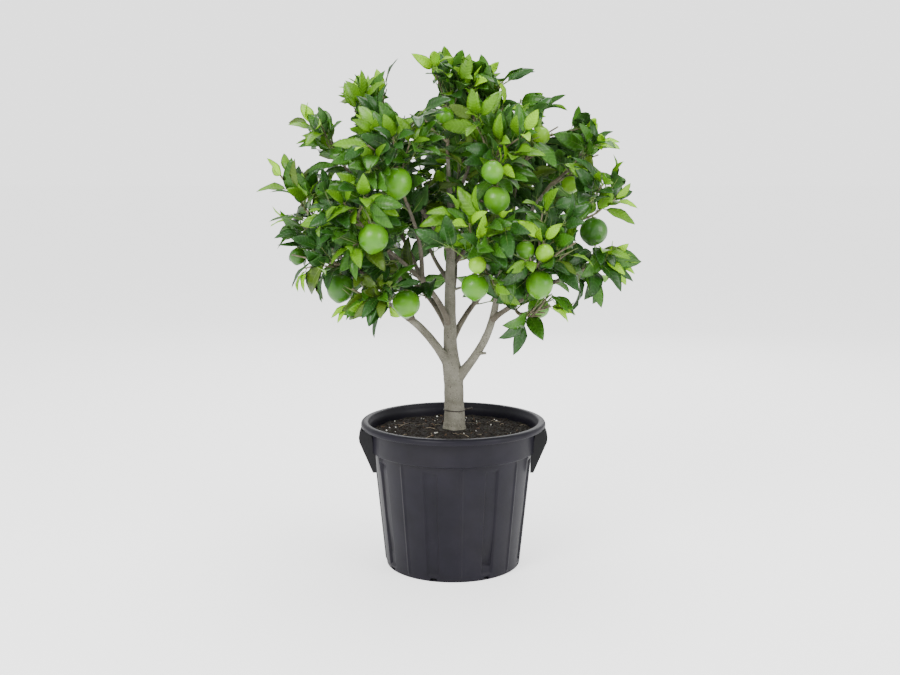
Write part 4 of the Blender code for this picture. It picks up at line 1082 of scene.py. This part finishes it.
# Shoots as in the solids: the crown's outline, and how a side shoot opens from its parent. Places are
# the first place on the parent and the stretch they share. Fall is the share of the length at the
# parent's foot, and its change to the tip
growthSettings = {
    "crownHeart": Vector((0, 0, 0.50)),
    "crownCentre": Vector((0.0, -0.010, 0.600)),
    "crownRadius": 0.318,
    "crownDepth": 0.285,
    "crownRise": 0.288,
    "crownDrop": 0.232,
    "massReach": 0.135,
    "leadBend": 0.45,
    "sideShootLength": 0.082,
    "sideShootFall": (1.1, -0.35),
    "sideShootPlaces": (0.12, 0.72),
    "shootTries": 14,
    "shootLift": 0.21,
    "shootOutward": 0.35,
    "shootRadius": 0.0019,
    "shootTipRadius": 0.0012,
    "openingDeg": (38, 68),
    "reachSpread": (0.8, 1.15),
    "reachLoss": 0.035,
    "rootFree": 0.012,
    "goldenTurn": math.radians(137.5),
    "shootBound": 0.88,
    "clearance": 0.0008,
    "gap": 0.0003,
    # shares of a lime's radius: where its stalk aims, how far it bows, where it ends
    "stalkOver": 0.9,
    "stalkBow": 0.2,
    "stalkInto": 0.6,
}

# The finer order: short twigs on every shoot and spurs on the boughs
fineSettings = {
    "seedShift": 501,
    "twigSpacing": 0.052,
    "twigLength": 0.046,
    "twigFall": (1.2, -0.4),
    "twigPlaces": (0.25, 0.65),
    "twigRadius": 0.0012,
    "twigBound": 0.84,
    "cellOverlap": 0.016,
    "spurSpacing": 0.034,
    "spurLength": 0.034,
    "spurFrom": 0.42,
    "spurTo": 0.97,
    "spurDroop": 0.3,
    "spurBound": 0.80,
    "fruitView": 0.93,
    "fruitFront": 0.08,
    "trunkWindow": (0.017, 0.56),
    # Notches of sky in the crown, in picture pixels: centre x, centre y, half width, half height
    "skyWindows": (
        (410, 90, 25, 22), (411, 64, 11, 9), (508, 63, 10, 8), (518, 88, 13, 10),
        (548, 84, 13, 8), (331, 107, 8, 9), (347, 112, 7, 10), (347, 136, 6, 12),
        (304, 156, 10, 12), (558, 122, 15, 11), (604, 160, 10, 12), (610, 220, 6, 15),
        (585, 243, 8, 8), (352, 329, 17, 11), (388, 328, 11, 11), (553, 322, 7, 12),
        (611, 291, 9, 11), (289, 204, 9, 10), (430, 266, 8, 9),
    ),
}

# Leaves along a shoot, at their real size. A spread is the least and the most that chance gives, or
# as much either way; another pair is the value at the shoot's foot and its change to the tip
leafSettings = {
    "spacing": 0.0185,
    "length": 0.063,
    "widthShare": 0.48,
    "petiole": 0.0075,
    "turn": math.radians(144),
    "tries": 5,
    "tryTurn": 0.5,
    "bound": 0.98,
    "leadBound": 1.06,
    "first": 0.16,
    "last": 0.90,
    "openingDeg": (66, -26),
    "openingSpread": 0.12,
    "size": (1.06, -0.22),
    "sizeSpread": (0.80, 1.10),
    "widthSpread": (0.86, 1.10),
    "hangGrowth": 0.14,
    "hang": (1, -0.4),
    "hangSpread": (0.7, 1.2),
    "tiltSpread": (-0.05, 0.16),
    # facing: how much it follows the shoot, the sky, the outside of the crown, the nearer side, and chance
    "faceAlong": 0.2,
    "faceUp": 0.35,
    "faceOut": 0.35,
    "faceNear": 0.55,
    "faceSpread": 0.7,
    # closing leaves: place and opening of the first with the change to the next, length, gain where not young
    "tipLeaves": 3,
    "tipPlace": (0.95, 0.02),
    "tipOpeningDeg": (20, 10),
    "tipLeafLength": 0.040,
    "oldTipGain": 1.15,
    # chance of young closing leaves: low down, more at the top, more at the outside; heights from and over
    "youngLow": 0.20,
    "youngHigh": 0.30,
    "youngOuter": 0.5,
    "youngFrom": 0.55,
    "outerShare": (0.80, 0.92),
    "heights": (0.45, 0.4),
    "freshFrom": 0.76,
    "strayTone": 0.10,
    # what the test against limbs and other leaves takes for its outline
    "broadest": 0.47,
    "testRise": 0.05,
    "testPower": 0.8,
    "testLevel": 0.0025,
    "testFrom": 0.12,
    "nearby": 0.062,
}

# Tones of a spray, each with the bound that a draw from 0 to 1 stays below
toneSettings = {
    "innerShare": 0.62,
    "hangingDroop": 0.6,
    "inner": (("Dark", 0.62), ("Olive", 0.80), ("Mid", 1)),
    "hanging": (("Dark", 0.55), ("Mid", 0.85), ("Olive", 1)),
    "fresh": (0.08, 0.12),
    "mid": 0.50,
}


def onCurve(curve, u):
    # A curve bent by one control point: start (1-u)^2 + control 2u(1-u) + end u^2
    start, control, end = curve
    return start * (1 - u) ** 2 + control * (2 * u * (1 - u)) + end * u * u


def alongCurve(curve, u):
    # The curve's direction at u
    start, control, end = curve
    return ((control - start) * (1 - u) + (end - control) * u).normalized()


def ramp(pair, u):
    # The first value plus the change times u
    return pair[0] + pair[1] * u


def placeAlong(rng, i, count, first, reach):
    # The i-th of count places on a shoot, each somewhere in the middle of its own stretch
    return first + reach * (i + rng.uniform(0.2, 0.8)) / count


def limbCloud():
    # Points along every limb's centre line, with its radius at each
    points, radii = [], []
    for limb in limbs.values():
        line, sizes = limb["points"], limb["radii"]
        for a, b, radiusA, radiusB in zip(line, line[1:], sizes, sizes[1:]):
            steps = max(1, round((b - a).length / limbSettings["cloudSpacing"]))
            shares = np.linspace(0, 1, steps + 1)[:, None]
            points.append(np.array(a) + (np.array(b) - np.array(a)) * shares)
            radii.append(radiusA + (radiusB - radiusA) * shares[:, 0])
    return np.vstack(points), np.concatenate(radii)


def crownShare(point):
    # How far out a point lies in the crown's rounded outline, which is 1 on its surface
    s = growthSettings
    x, y, z = point - s["crownCentre"]
    height = s["crownRise"] if z > 0 else s["crownDrop"]
    return math.sqrt((x / s["crownRadius"]) ** 2 + (y / s["crownDepth"]) ** 2 + (z / height) ** 2)


def inCell(space, point, margin):
    # On the own heart's side of the plane halfway to every other heart, and within reach
    if space["heart"] is None:
        return True
    if (point - space["heart"]).length > growthSettings["massReach"] - margin:
        return False
    offset = space["across"] @ np.array(point) - space["middle"]
    return bool((offset < -margin).all())


def anySide(direction, turn):
    # A direction square to another, turned round it
    first = direction.cross(Vector((0.3, 1.0, 0.1))).normalized()
    return Matrix.Rotation(turn, 3, direction) @ first


def twigIsFree(curve, radius, space, margin):
    # Every eighth of the twig keeps to its space, and past its root clear of limbs and limes
    for i in range(1, 9):
        point = onCurve(curve, i / 8)
        if not inCell(space, point, margin):
            return False
        if (point - curve[0]).length < growthSettings["rootFree"]:
            continue
        for points, radii in space["clouds"]:
            nearest = (np.linalg.norm(points - np.array(point), axis=1) - radii).min()
            if nearest < radius + growthSettings["clearance"]:
                return False
    return True


def sideShoot(parent, u, around, rng, length, droop, space, fine=False):
    # A straight shoot that leaves its parent at u and turns outward and up to the light
    s = growthSettings
    lift = up * s["shootLift"] * (1 - droop)
    start = onCurve(parent, u)
    axis = alongCurve(parent, u)
    outward = (start - s["crownHeart"]).normalized()
    bound = fineSettings["twigBound"] if fine else s["shootBound"]
    radius = fineSettings["twigRadius"] if fine else s["shootRadius"]
    margin = -fineSettings["cellOverlap"] / 2 if fine else s["shootRadius"] + s["gap"]
    for attempt in range(s["shootTries"]):
        opening = math.radians(rng.uniform(*s["openingDeg"]))
        turn = around + rng.uniform(-0.5, 0.5) * (1 + attempt * 0.5)
        reach = length * rng.uniform(*s["reachSpread"]) * (1 - s["reachLoss"] * attempt)
        direction = axis * math.cos(opening) + anySide(axis, turn) * math.sin(opening)
        direction = (direction + outward * s["shootOutward"] + lift).normalized()
        tip = start + direction * reach
        curve = (start, (start + tip) / 2, tip)
        if crownShare(tip) > bound or (fine and inSky(np.array([tip, curve[1]]))):
            continue
        if twigIsFree(curve, radius, space, margin):
            return curve
    return None


def leafFrame(curve, u, around, opening, droop, rng):
    # Root, heading and facing of a leaf that opens from its shoot and hangs by droop
    s = leafSettings
    axis = alongCurve(curve, u)
    out = anySide(axis, around)
    direction = axis * math.cos(opening) + out * math.sin(opening)
    direction = (direction - up * droop).normalized()
    outward = (onCurve(curve, u) - growthSettings["crownHeart"]).normalized()
    near = Vector((0, math.copysign(s["faceNear"], outward.y), 0))
    chance = Vector([rng.uniform(-s["faceSpread"], s["faceSpread"]) for _ in range(3)])
    facing = axis * s["faceAlong"] + up * s["faceUp"] + outward * s["faceOut"] + near + chance
    normal = facing - direction * facing.dot(direction)
    if normal.length < 0.2:
        normal = direction.orthogonal()
    return onCurve(curve, u), direction, normal.normalized()


def leafCorners(leaf):
    # Root, tip and both sides at the broadest place, raised by the blade's arch
    s = leafSettings
    base, direction, normal, length, width = leaf
    side = direction.cross(normal).normalized()
    root = base + direction * s["petiole"] * 0.8
    tip = base + direction * (s["petiole"] + length)
    middle = root.lerp(tip, s["broadest"]) + normal * length * s["testRise"]
    return root, tip, middle + side * width / 2, middle - side * width / 2


def inSky(spots):
    # Whether a spot is seen in a notch: x = middle + focal * right / depth, y = middle - focal * rise / depth
    c = cameraSettings
    width, height = c["picture"]
    focal = c["lens"] / c["sensorWidth"] * width
    down = math.radians(c["downDeg"])
    sight = spots - np.array(c["place"])
    depth = sight[:, 1] * math.cos(down) - sight[:, 2] * math.sin(down)
    rise = sight[:, 1] * math.sin(down) + sight[:, 2] * math.cos(down)
    x = width / 2 + focal * sight[:, 0] / depth
    y = height / 2 - focal * rise / depth
    windows = np.array(fineSettings["skyWindows"])
    across = (x[:, None] - windows[:, 0]) / windows[:, 2]
    along = (y[:, None] - windows[:, 1]) / windows[:, 3]
    return bool((across ** 2 + along ** 2 < 1).any())


def blocksView(corners):
    # Whether a leaf is seen in a notch, before a front lime, or before the foot of the boughs
    balls, radii = fruitBalls
    root, tip, left, right = (np.array(corner) for corner in corners)
    spots = np.stack([root, tip, left, right, (left + right) / 2, (left + right + 2 * tip) / 4])
    halfWidth, ceiling = fineSettings["trunkWindow"]
    beforeTrunk = (np.abs(spots[:, 0]) < halfWidth) & (spots[:, 2] < ceiling) & (spots[:, 1] < 0)
    if inSky(spots) or beforeTrunk.any():
        return True
    camera = np.array(cameraSettings["place"])
    sight = spots - camera
    aim = unit(balls - camera)
    along = sight @ aim.T
    apart = np.linalg.norm(sight[:, None] - along[..., None] * aim, axis=2)
    before = along < np.linalg.norm(balls - camera, axis=1)
    front = balls[:, 1] < fineSettings["fruitFront"]
    return bool((before & front & (apart < radii * fineSettings["fruitView"])).any())


def leafIsFree(leaf, space, grown):
    # Stays in its space, off limbs and limes, and crosses no leaf that has grown before
    s = leafSettings
    corners = leafCorners(leaf)
    if crownShare(corners[1]) > space["bound"]:
        return False
    if not all(inCell(space, corner, -fineSettings["cellOverlap"]) for corner in corners[1:]):
        return False
    if blocksView(corners):
        return False
    base, direction, normal, length, width = leaf
    side = direction.cross(normal).normalized()
    for points, radii in space["clouds"]:
        local = points - np.array(base)
        share = local @ np.array(direction) / (length + s["petiole"])
        swell = np.sin(np.pi * np.clip(share, 0, 1)) ** s["testPower"]
        beside = np.abs(local @ np.array(side)) < width / 2 * swell + radii
        level = np.abs(local @ np.array(normal)) < radii + s["testLevel"]
        if (beside & level & (share > s["testFrom"]) & (share < 1 + radii / length)).any():
            return False
    root, tip, left, right = corners
    tree = BVHTree.FromPolygons([root, left, right, tip], [(0, 1, 2), (3, 2, 1)])
    middle = np.array(left.lerp(right, 0.5))
    if grown["middles"]:
        near = np.linalg.norm(np.array(grown["middles"]) - middle, axis=1) < s["nearby"]
        if any(tree.overlap(grown["trees"][i]) for i in np.flatnonzero(near)):
            return False
    grown["trees"].append(tree)
    grown["middles"].append(middle)
    return True


def toneOf(rng, share, droop, high):
    # The tone of a whole spray: dark or olive deep inside and low down, fresher towards the top. The olive is
    # painted backlight
    s = toneSettings
    draw = rng.random()
    if share < s["innerShare"]:
        bounds = s["inner"]
    elif droop > s["hangingDroop"]:
        bounds = s["hanging"]
    else:
        bounds = (("Fresh", ramp(s["fresh"], high)), ("Mid", s["mid"]), ("Dark", 1))
    return next(tone for tone, bound in bounds if draw < bound)


def leavesOn(curve, droop, rng, space, grown, tipped):
    # Leaves in a spiral up one shoot, closing to its tip, where the last ones are young
    s = leafSettings
    length = (curve[2] - curve[0]).length
    count = max(2, round(length * (1 - s["first"]) / s["spacing"]))
    around = rng.uniform(0, 2 * math.pi)
    share = crownShare(curve[2])
    high = min(1.0, max(0.0, (curve[2].z - s["heights"][0]) / s["heights"][1]))
    tone = toneOf(rng, share, droop, high)
    outer = smoothStep(share, *s["outerShare"])
    youngChance = s["youngLow"] + s["youngHigh"] * high + s["youngOuter"] * outer
    young = tipped and share > s["youngFrom"] and rng.random() < youngChance
    for i in range(count + s["tipLeaves"]):
        around += s["turn"]
        atTip = i >= count
        if atTip:
            u = ramp(s["tipPlace"], i - count)
            opening = math.radians(ramp(s["tipOpeningDeg"], i - count))
            size = s["tipLeafLength"] * (1.0 if young else s["oldTipGain"])
        else:
            u = s["first"] + (s["last"] - s["first"]) * (i + 0.5) / count
            opening = math.radians(ramp(s["openingDeg"], u))
            size = s["length"] * ramp(s["size"], u) * (1 + s["hangGrowth"] * min(droop, 1.0))
        hang = droop * rng.uniform(*s["hangSpread"]) * ramp(s["hang"], u) + rng.uniform(*s["tiltSpread"])
        size *= rng.uniform(*s["sizeSpread"])
        width = size * s["widthShare"] * rng.uniform(*s["widthSpread"])
        for attempt in range(s["tries"]):
            turn = around + s["tryTurn"] * attempt * (1 if attempt % 2 else -1)
            opened = opening + rng.uniform(-s["openingSpread"], s["openingSpread"])
            leaf = (*leafFrame(curve, u, turn, opened, hang, rng), size, width)
            if leafIsFree(leaf, space, grown):
                fresh = (atTip and tipped) or (young and u > s["freshFrom"])
                leafTone = "Young" if atTip and young else "Fresh" if fresh else tone
                # a stray tone may be the olive one, which is painted backlight
                if rng.random() < s["strayTone"]:
                    leafTone = rng.choice(("Dark", "Mid", "Olive"))
                grown["leaves"].append((*leaf, leafTone, rng.random()))
                break


def limeStalk(centre, radius, shoots):
    # A curve from the nearest shoot to just inside the top of a lime
    s = growthSettings
    crown = centre + up * radius * s["stalkOver"]
    spots = [onCurve(shoot, i / 20) for shoot in shoots for i in range(1, 20)]
    root = min(spots, key=lambda spot: (spot - crown).length)
    bend = (root + crown) / 2 + up * s["stalkBow"] * (root - crown).length
    return (root, bend, centre + up * radius * s["stalkInto"])


def nearestMass(centre):
    # The mass whose heart lies nearest
    return min(masses, key=lambda name: (Vector(masses[name][1]) - Vector(centre)).length)


def growMass(name, grown, cloud, fruit):
    # The same lead and side shoots as the solid, then fine twigs, then leaves
    s, f = growthSettings, fineSettings
    limbName, heart, leadTip, droop, count, seed = masses[name]
    rng = random.Random(seed)
    limb = limbs[limbName]
    seat = limb["points"][-1]
    heading = (seat - limb["points"][-2]).normalized()
    others = np.array([row[1] for other, row in masses.items() if other != name])
    across = unit(others - np.array(heart))
    space = {
        "heart": Vector(heart),
        "across": across,
        "middle": (across * (others + np.array(heart)) / 2).sum(1),
        "clouds": [cloud, fruit],
    }
    start = seat + heading * s["gap"]
    tip = Vector(leadTip)
    lead = (start, start + heading * (tip - start).length * s["leadBend"], tip)
    shoots, twigs = [lead], []
    around = rng.uniform(0, 2 * math.pi)
    for i in range(count):
        around += s["goldenTurn"]
        u = placeAlong(rng, i, count, *s["sideShootPlaces"])
        length = s["sideShootLength"] * ramp(s["sideShootFall"], u)
        curve = sideShoot(lead, u, around, rng, length, droop, space)
        if curve and not inSky(np.array([curve[1], curve[2]])):
            shoots.append(curve)
    rng = random.Random(seed + f["seedShift"])
    for shoot in shoots:
        fine = max(2, round((shoot[2] - shoot[0]).length / f["twigSpacing"]))
        for i in range(fine):
            around += s["goldenTurn"]
            u = placeAlong(rng, i, fine, *f["twigPlaces"])
            length = f["twigLength"] * ramp(f["twigFall"], u)
            curve = sideShoot(shoot, u, around, rng, length, droop, space, fine=True)
            if curve:
                twigs.append(curve)
    for number, (centre, size) in enumerate(limes):
        if nearestMass(centre) == name:
            centre, radius = Vector(centre), size / 2
            grown["limes"].append((centre, radius, number, limeStalk(centre, radius, shoots)))
    for i, curve in enumerate(shoots + twigs):
        space["bound"] = leafSettings["leadBound" if i == 0 or droop >= 1 else "bound"]
        leavesOn(curve, droop, rng, space, grown, i < len(shoots))
    grown["leads"].append((lead, limb["radii"][-1]))
    grown["shoots"] += shoots[1:]
    grown["twigs"] += twigs


def growSpurs(name, grown, cloud, fruit):
    # Short leafy twigs along the outer part of a bough, in the shade of the crown
    f = fineSettings
    points = limbs[name]["points"]
    rng = random.Random(sum(map(ord, name)))
    space = {"heart": None, "clouds": [cloud, fruit], "bound": f["spurBound"]}
    length = (points[-1] - points[0]).length * (1 - f["spurFrom"])
    count = max(2, round(length / f["spurSpacing"]))
    around = rng.uniform(0, 2 * math.pi)
    for i in range(count):
        around += growthSettings["goldenTurn"]
        share = placeAlong(rng, i, count, f["spurFrom"], f["spurTo"] - f["spurFrom"])
        spot = share * (len(points) - 1)
        k = min(int(spot), len(points) - 2)
        stretch = (points[k], (points[k] + points[k + 1]) / 2, points[k + 1])
        curve = sideShoot(stretch, spot - k, around, rng, f["spurLength"], f["spurDroop"], space, fine=True)
        if curve:
            grown["twigs"].append(curve)
            leavesOn(curve, f["spurDroop"], rng, space, grown, False)


grown = {"leaves": [], "trees": [], "middles": [], "limes": [], "shoots": [], "leads": [], "twigs": []}
limbPoints = limbCloud()
fruitBalls = (np.array([centre for centre, _ in limes]), np.array([size / 2 for _, size in limes]))
for massName in masses:
    growMass(massName, grown, limbPoints, fruitBalls)
for boughName in boughs:
    growSpurs(boughName, grown, limbPoints, fruitBalls)
for kind in ("leaves", "shoots", "twigs"):
    print("grown:", len(grown[kind]), kind)

# Leaves: a blade of a few dozen faces, closed like a thin lens
bladeSettings = {
    "stations": 6,
    "thickness": 0.0005,
    "arch": 0.055,
    "fold": 0.26,
    "curl": 0.16,
    "curlPower": 2.2,
    "ripple": 0.10,
    "rippleTurns": 2.1,
    "ribRadius": 0.00085,
    "ribTip": 0.28,
    "ribSides": 4,
}


def bladeFaces(stations):
    # Quads between stations over and under, and fans to the root and the tip. Edges are shared
    top = lambda s, k: 1 + 5 * s + k
    tip = 1 + 5 * stations
    under = lambda s, k: top(s, k) if k in (0, 4) else tip + 1 + 3 * s + k - 1
    faces, below = [], []
    for k in range(4):
        for side, flag in ((top, 0), (under, 1)):
            for s in range(-1, stations):
                if s == -1:
                    face = [0, side(0, k + 1), side(0, k)]
                elif s == stations - 1:
                    face = [side(s, k), side(s, k + 1), tip]
                else:
                    face = [side(s, k), side(s, k + 1), side(s + 1, k + 1), side(s + 1, k)]
                faces.append(face[::-1] if flag else face)
                below.append(flag)
    return faces, below


def bladePoints(rows):
    # Half width follows a power of sin(pi u); height is an arch, a fold, a curl at the tip and a ripple
    s = bladeSettings
    base, heading, facing = (np.array([tuple(row[k]) for row in rows]) for k in range(3))
    length, width, chance = (np.array([row[k] for row in rows])[:, None] for k in (3, 4, 6))
    side = unit(np.cross(heading, facing))
    root = base + heading * leafSettings["petiole"]
    u = np.concatenate([[0], (np.arange(s["stations"]) + 0.75) / (s["stations"] + 0.5), [1]])
    half = np.sin(np.pi * u**0.90) ** 0.78 * (1 - 0.08 * u)
    curl = s["curl"] * (0.4 + 1.2 * chance)
    centreLine = length * (s["arch"] * np.sin(np.pi * u) - curl * u**s["curlPower"])

    def place(share, lower):
        # Points at one share across, for every leaf and station
        reach = share * half * width / 2
        wave = s["ripple"] * np.sin(2 * np.pi * (s["rippleTurns"] * u + chance)) * share**2
        rise = centreLine + np.abs(reach) * (s["fold"] * (0.5 + chance) + wave) - lower
        forward = heading[:, None] * (length * u)[..., None]
        return root[:, None] + forward + side[:, None] * reach[..., None] + facing[:, None] * rise[..., None]

    over = np.stack([place(share, 0.0) for share in (-1, -0.5, 0, 0.5, 1)], 2)
    below = np.stack([place(share, s["thickness"]) for share in (-0.5, 0, 0.5)], 2)
    count = len(rows)
    stations = slice(1, s["stations"] + 1)
    points = np.concatenate([
        over[:, 0, 2][:, None], over[:, stations].reshape(count, -1, 3),
        over[:, -1, 2][:, None], below[:, stations].reshape(count, -1, 3),
    ], 1)
    across = np.array([0, 0.25, 0.5, 0.75, 1])
    uvOver = np.stack(np.meshgrid(u[stations], across, indexing="ij"), -1).reshape(-1, 2)
    uvBelow = np.stack(np.meshgrid(u[stations], across[1:4], indexing="ij"), -1).reshape(-1, 2)
    uv = np.tile(np.vstack([[[0, 0.5]], uvOver, [[1, 0.5]], uvBelow]), (count, 1))
    ribs = np.concatenate([base[:, None], over[:, :, 2] - facing[:, None] * s["thickness"] / 2], 1)
    return points, uv, ribs


def makeLeaves():
    # One joined piece for each tone, and one for all the midribs and petioles
    s = bladeSettings
    pattern, below = bladeFaces(s["stations"])
    allRibs, ribSizes = [], []
    for tone in leafColours:
        rows = [leaf for leaf in grown["leaves"] if leaf[5] == tone]
        points, uv, ribs = bladePoints(rows)
        steps = np.arange(len(rows))[:, None, None] * points.shape[1]
        blocks, sides = [], []
        for corners in (3, 4):
            chosen = [i for i, face in enumerate(pattern) if len(face) == corners]
            blocks.append((np.array([pattern[i] for i in chosen]) + steps).reshape(-1, corners))
            sides.append(np.tile([below[i] for i in chosen], len(rows)))
        materials = [finishes[f"leaf{tone}"], finishes[f"under{tone}"]]
        faceMaterial = np.concatenate(sides).astype(np.int32)
        makePiece(f"leaves{tone}", points.reshape(-1, 3), blocks, materials, (), faceMaterial, uv)
        allRibs.append(ribs)
        ribSizes += [row[3] for row in rows]
        print("leaves", tone, len(rows))
    ribs = np.vstack(allRibs)[:, :-1]
    taper = np.linspace(1.0, s["ribTip"], ribs.shape[1]) ** 1.3
    radii = s["ribRadius"] * taper * (np.array(ribSizes) / leafSettings["length"])[:, None]
    points, faces = tubes(ribs, radii, s["ribSides"])
    makePiece("leafRibs", points, faces, [finishes["leafRib"]])


# Twigs: radii at foot and tip, and a little wander
twigSettings = {
    "stations": 9,
    "shootFoot": 0.0021,
    "fineRadii": (0.00135, 0.0009),
    "stalkRadius": 0.0013,
    "stalkFlare": 0.0006,
    "wander": 0.0012,
    "wanderSize": 0.05,
}


def curvePaths(curves):
    # Every curve sampled at the same shares, as one array
    ends = np.array([[tuple(point) for point in curve] for curve in curves])
    u = np.linspace(0, 1, twigSettings["stations"])[None, :, None]
    return ends[:, :1] * (1 - u) ** 2 + ends[:, 1:2] * (2 * u * (1 - u)) + ends[:, 2:] * u * u


def wandered(paths, seed):
    # Soft waves push each path aside, growing from none at its foot
    s = twigSettings
    push = np.stack([waves(paths, s["wanderSize"], seed + k) for k in range(3)], -1)
    share = np.linspace(0, 1, s["stations"])[None, :, None]
    return paths + (push - push[:, :1]) * s["wander"] * np.minimum(share * 4, 1)


def makeTwigs():
    # Brown leads and side shoots, then green fine twigs and the stalks of the limes
    s = twigSettings
    share = np.linspace(0, 1, s["stations"])
    leads = wandered(curvePaths([lead for lead, _ in grown["leads"]]), 3)
    shoots = wandered(curvePaths(grown["shoots"]), 4)
    fine = wandered(curvePaths(grown["twigs"]), 5)
    stalks = curvePaths([stalk for _, _, _, stalk in grown["limes"]])
    tip = growthSettings["shootTipRadius"] * share
    leadRadii = np.array([radius for _, radius in grown["leads"]])[:, None] * (1 - share) + tip
    shootRadii = np.tile(s["shootFoot"] * (1 - share) + tip, (len(shoots), 1))
    fineRadii = np.tile(s["fineRadii"][0] * (1 - share) + s["fineRadii"][1] * share, (len(fine), 1))
    stalkRadii = np.tile(s["stalkRadius"] + s["stalkFlare"] * share**3, (len(stalks), 1))
    points, faces = joined([tubes(leads, leadRadii, 8), tubes(shoots, shootRadii, 6)])
    makePiece("brownTwigs", points, faces, [finishes["twigBrown"]])
    points, faces = joined([tubes(fine, fineRadii, 5), tubes(stalks, stalkRadii, 6)])
    makePiece("greenTwigs", points, faces, [finishes["twigGreen"]])


# Limes: heights and widths are shares of the radius
limeSettings = {
    "turns": 40,
    "steps": 26,
    "nipple": 0.10,
    "nippleWidth": 0.30,
    "dimple": 0.05,
    "dimpleWidth": 0.32,
    "slim": 0.02,
    "stretch": 0.04,
    "uneven": 0.008,
    "tiltDeg": 16,
    "seed": 9,
}


def limeSurface(centre, radius, tilt, squash, heading):
    # A ball with a short cone at its lower pole and a dimple at its upper one
    s = limeSettings
    polar = np.linspace(0, np.pi, s["steps"])
    swell = 1 + s["nipple"] * np.exp(-(polar / s["nippleWidth"]) ** 2)
    swell = swell - s["dimple"] * np.exp(-((np.pi - polar) / s["dimpleWidth"]) ** 2)
    r = np.sin(polar) * radius * swell * (1 - s["slim"] * squash)
    z = -np.cos(polar) * radius * swell * (1 + s["stretch"] * squash)
    points, faces = turnedShell(np.tile(r, (s["turns"], 1)), np.tile(z, (s["turns"], 1)))
    points = points * (1 + s["uneven"] * waves(points / radius, 1.6, int(heading * 1000))[:, None])
    lean = Matrix.Rotation(heading, 3, "Z") @ Matrix.Rotation(math.radians(tilt), 3, "X")
    return points @ np.array(lean).T + np.array(centre), faces


calyxSettings = {
    "turns": 30,
    "lobes": 5,
    "lobeDepth": 0.32,
    "radius": 0.0042,
    "height": 0.0014,
    "seat": 0.955,
    # share of the radius and of the height, from below to the top
    "profile": ((0, -0.6), (0.35, -0.5), (0.8, -0.2), (1.0, 0.15), (0.75, 0.6), (0.4, 1.1), (0, 1.3)),
}


def calyxSurface(centre, radius, heading):
    # A low five-lobed cap on the top of the lime, under its stalk: radius 1 + depth * cos(5 angle)
    s = calyxSettings
    profile = np.array(s["profile"])
    angle = 2 * np.pi * np.arange(s["turns"])[:, None] / s["turns"]
    lobe = 1 + s["lobeDepth"] * np.cos(s["lobes"] * angle + heading)
    r = profile[:, 0] * s["radius"] * lobe
    z = np.tile(profile[:, 1] * s["height"], (s["turns"], 1))
    points, faces = turnedShell(r, z)
    return points + np.array(centre) + [0, 0, radius * s["seat"]], faces


def makeLimes():
    # One joined piece for each kind of peel, and one for all the caps
    s = limeSettings
    rng = random.Random(s["seed"])
    kinds = {kind: [] for kind in limeColours}
    caps = []
    for centre, radius, number, _ in grown["limes"]:
        kind = "limePale" if number in paleLimes else "limeDeep" if number in deepLimes else "limeGreen"
        heading = rng.uniform(0, 2 * math.pi)
        tilt = rng.uniform(-s["tiltDeg"], s["tiltDeg"])
        kinds[kind].append(limeSurface(centre, radius, tilt, rng.uniform(-1, 1), heading))
        caps.append(calyxSurface(centre, radius, heading))
    for kind, blocks in kinds.items():
        points, faces = joined(blocks)
        makePiece(kind.replace("lime", "limes"), points, faces, [finishes[kind]])
    points, faces = joined(caps)
    nodes = [f"foliage_{name}" for name in masses]
    makePiece("limeCaps", points, faces, [finishes["calyx"]], nodes)


makeLeaves()
makeTwigs()
makeLimes()
print("leaves, twigs and limes made")
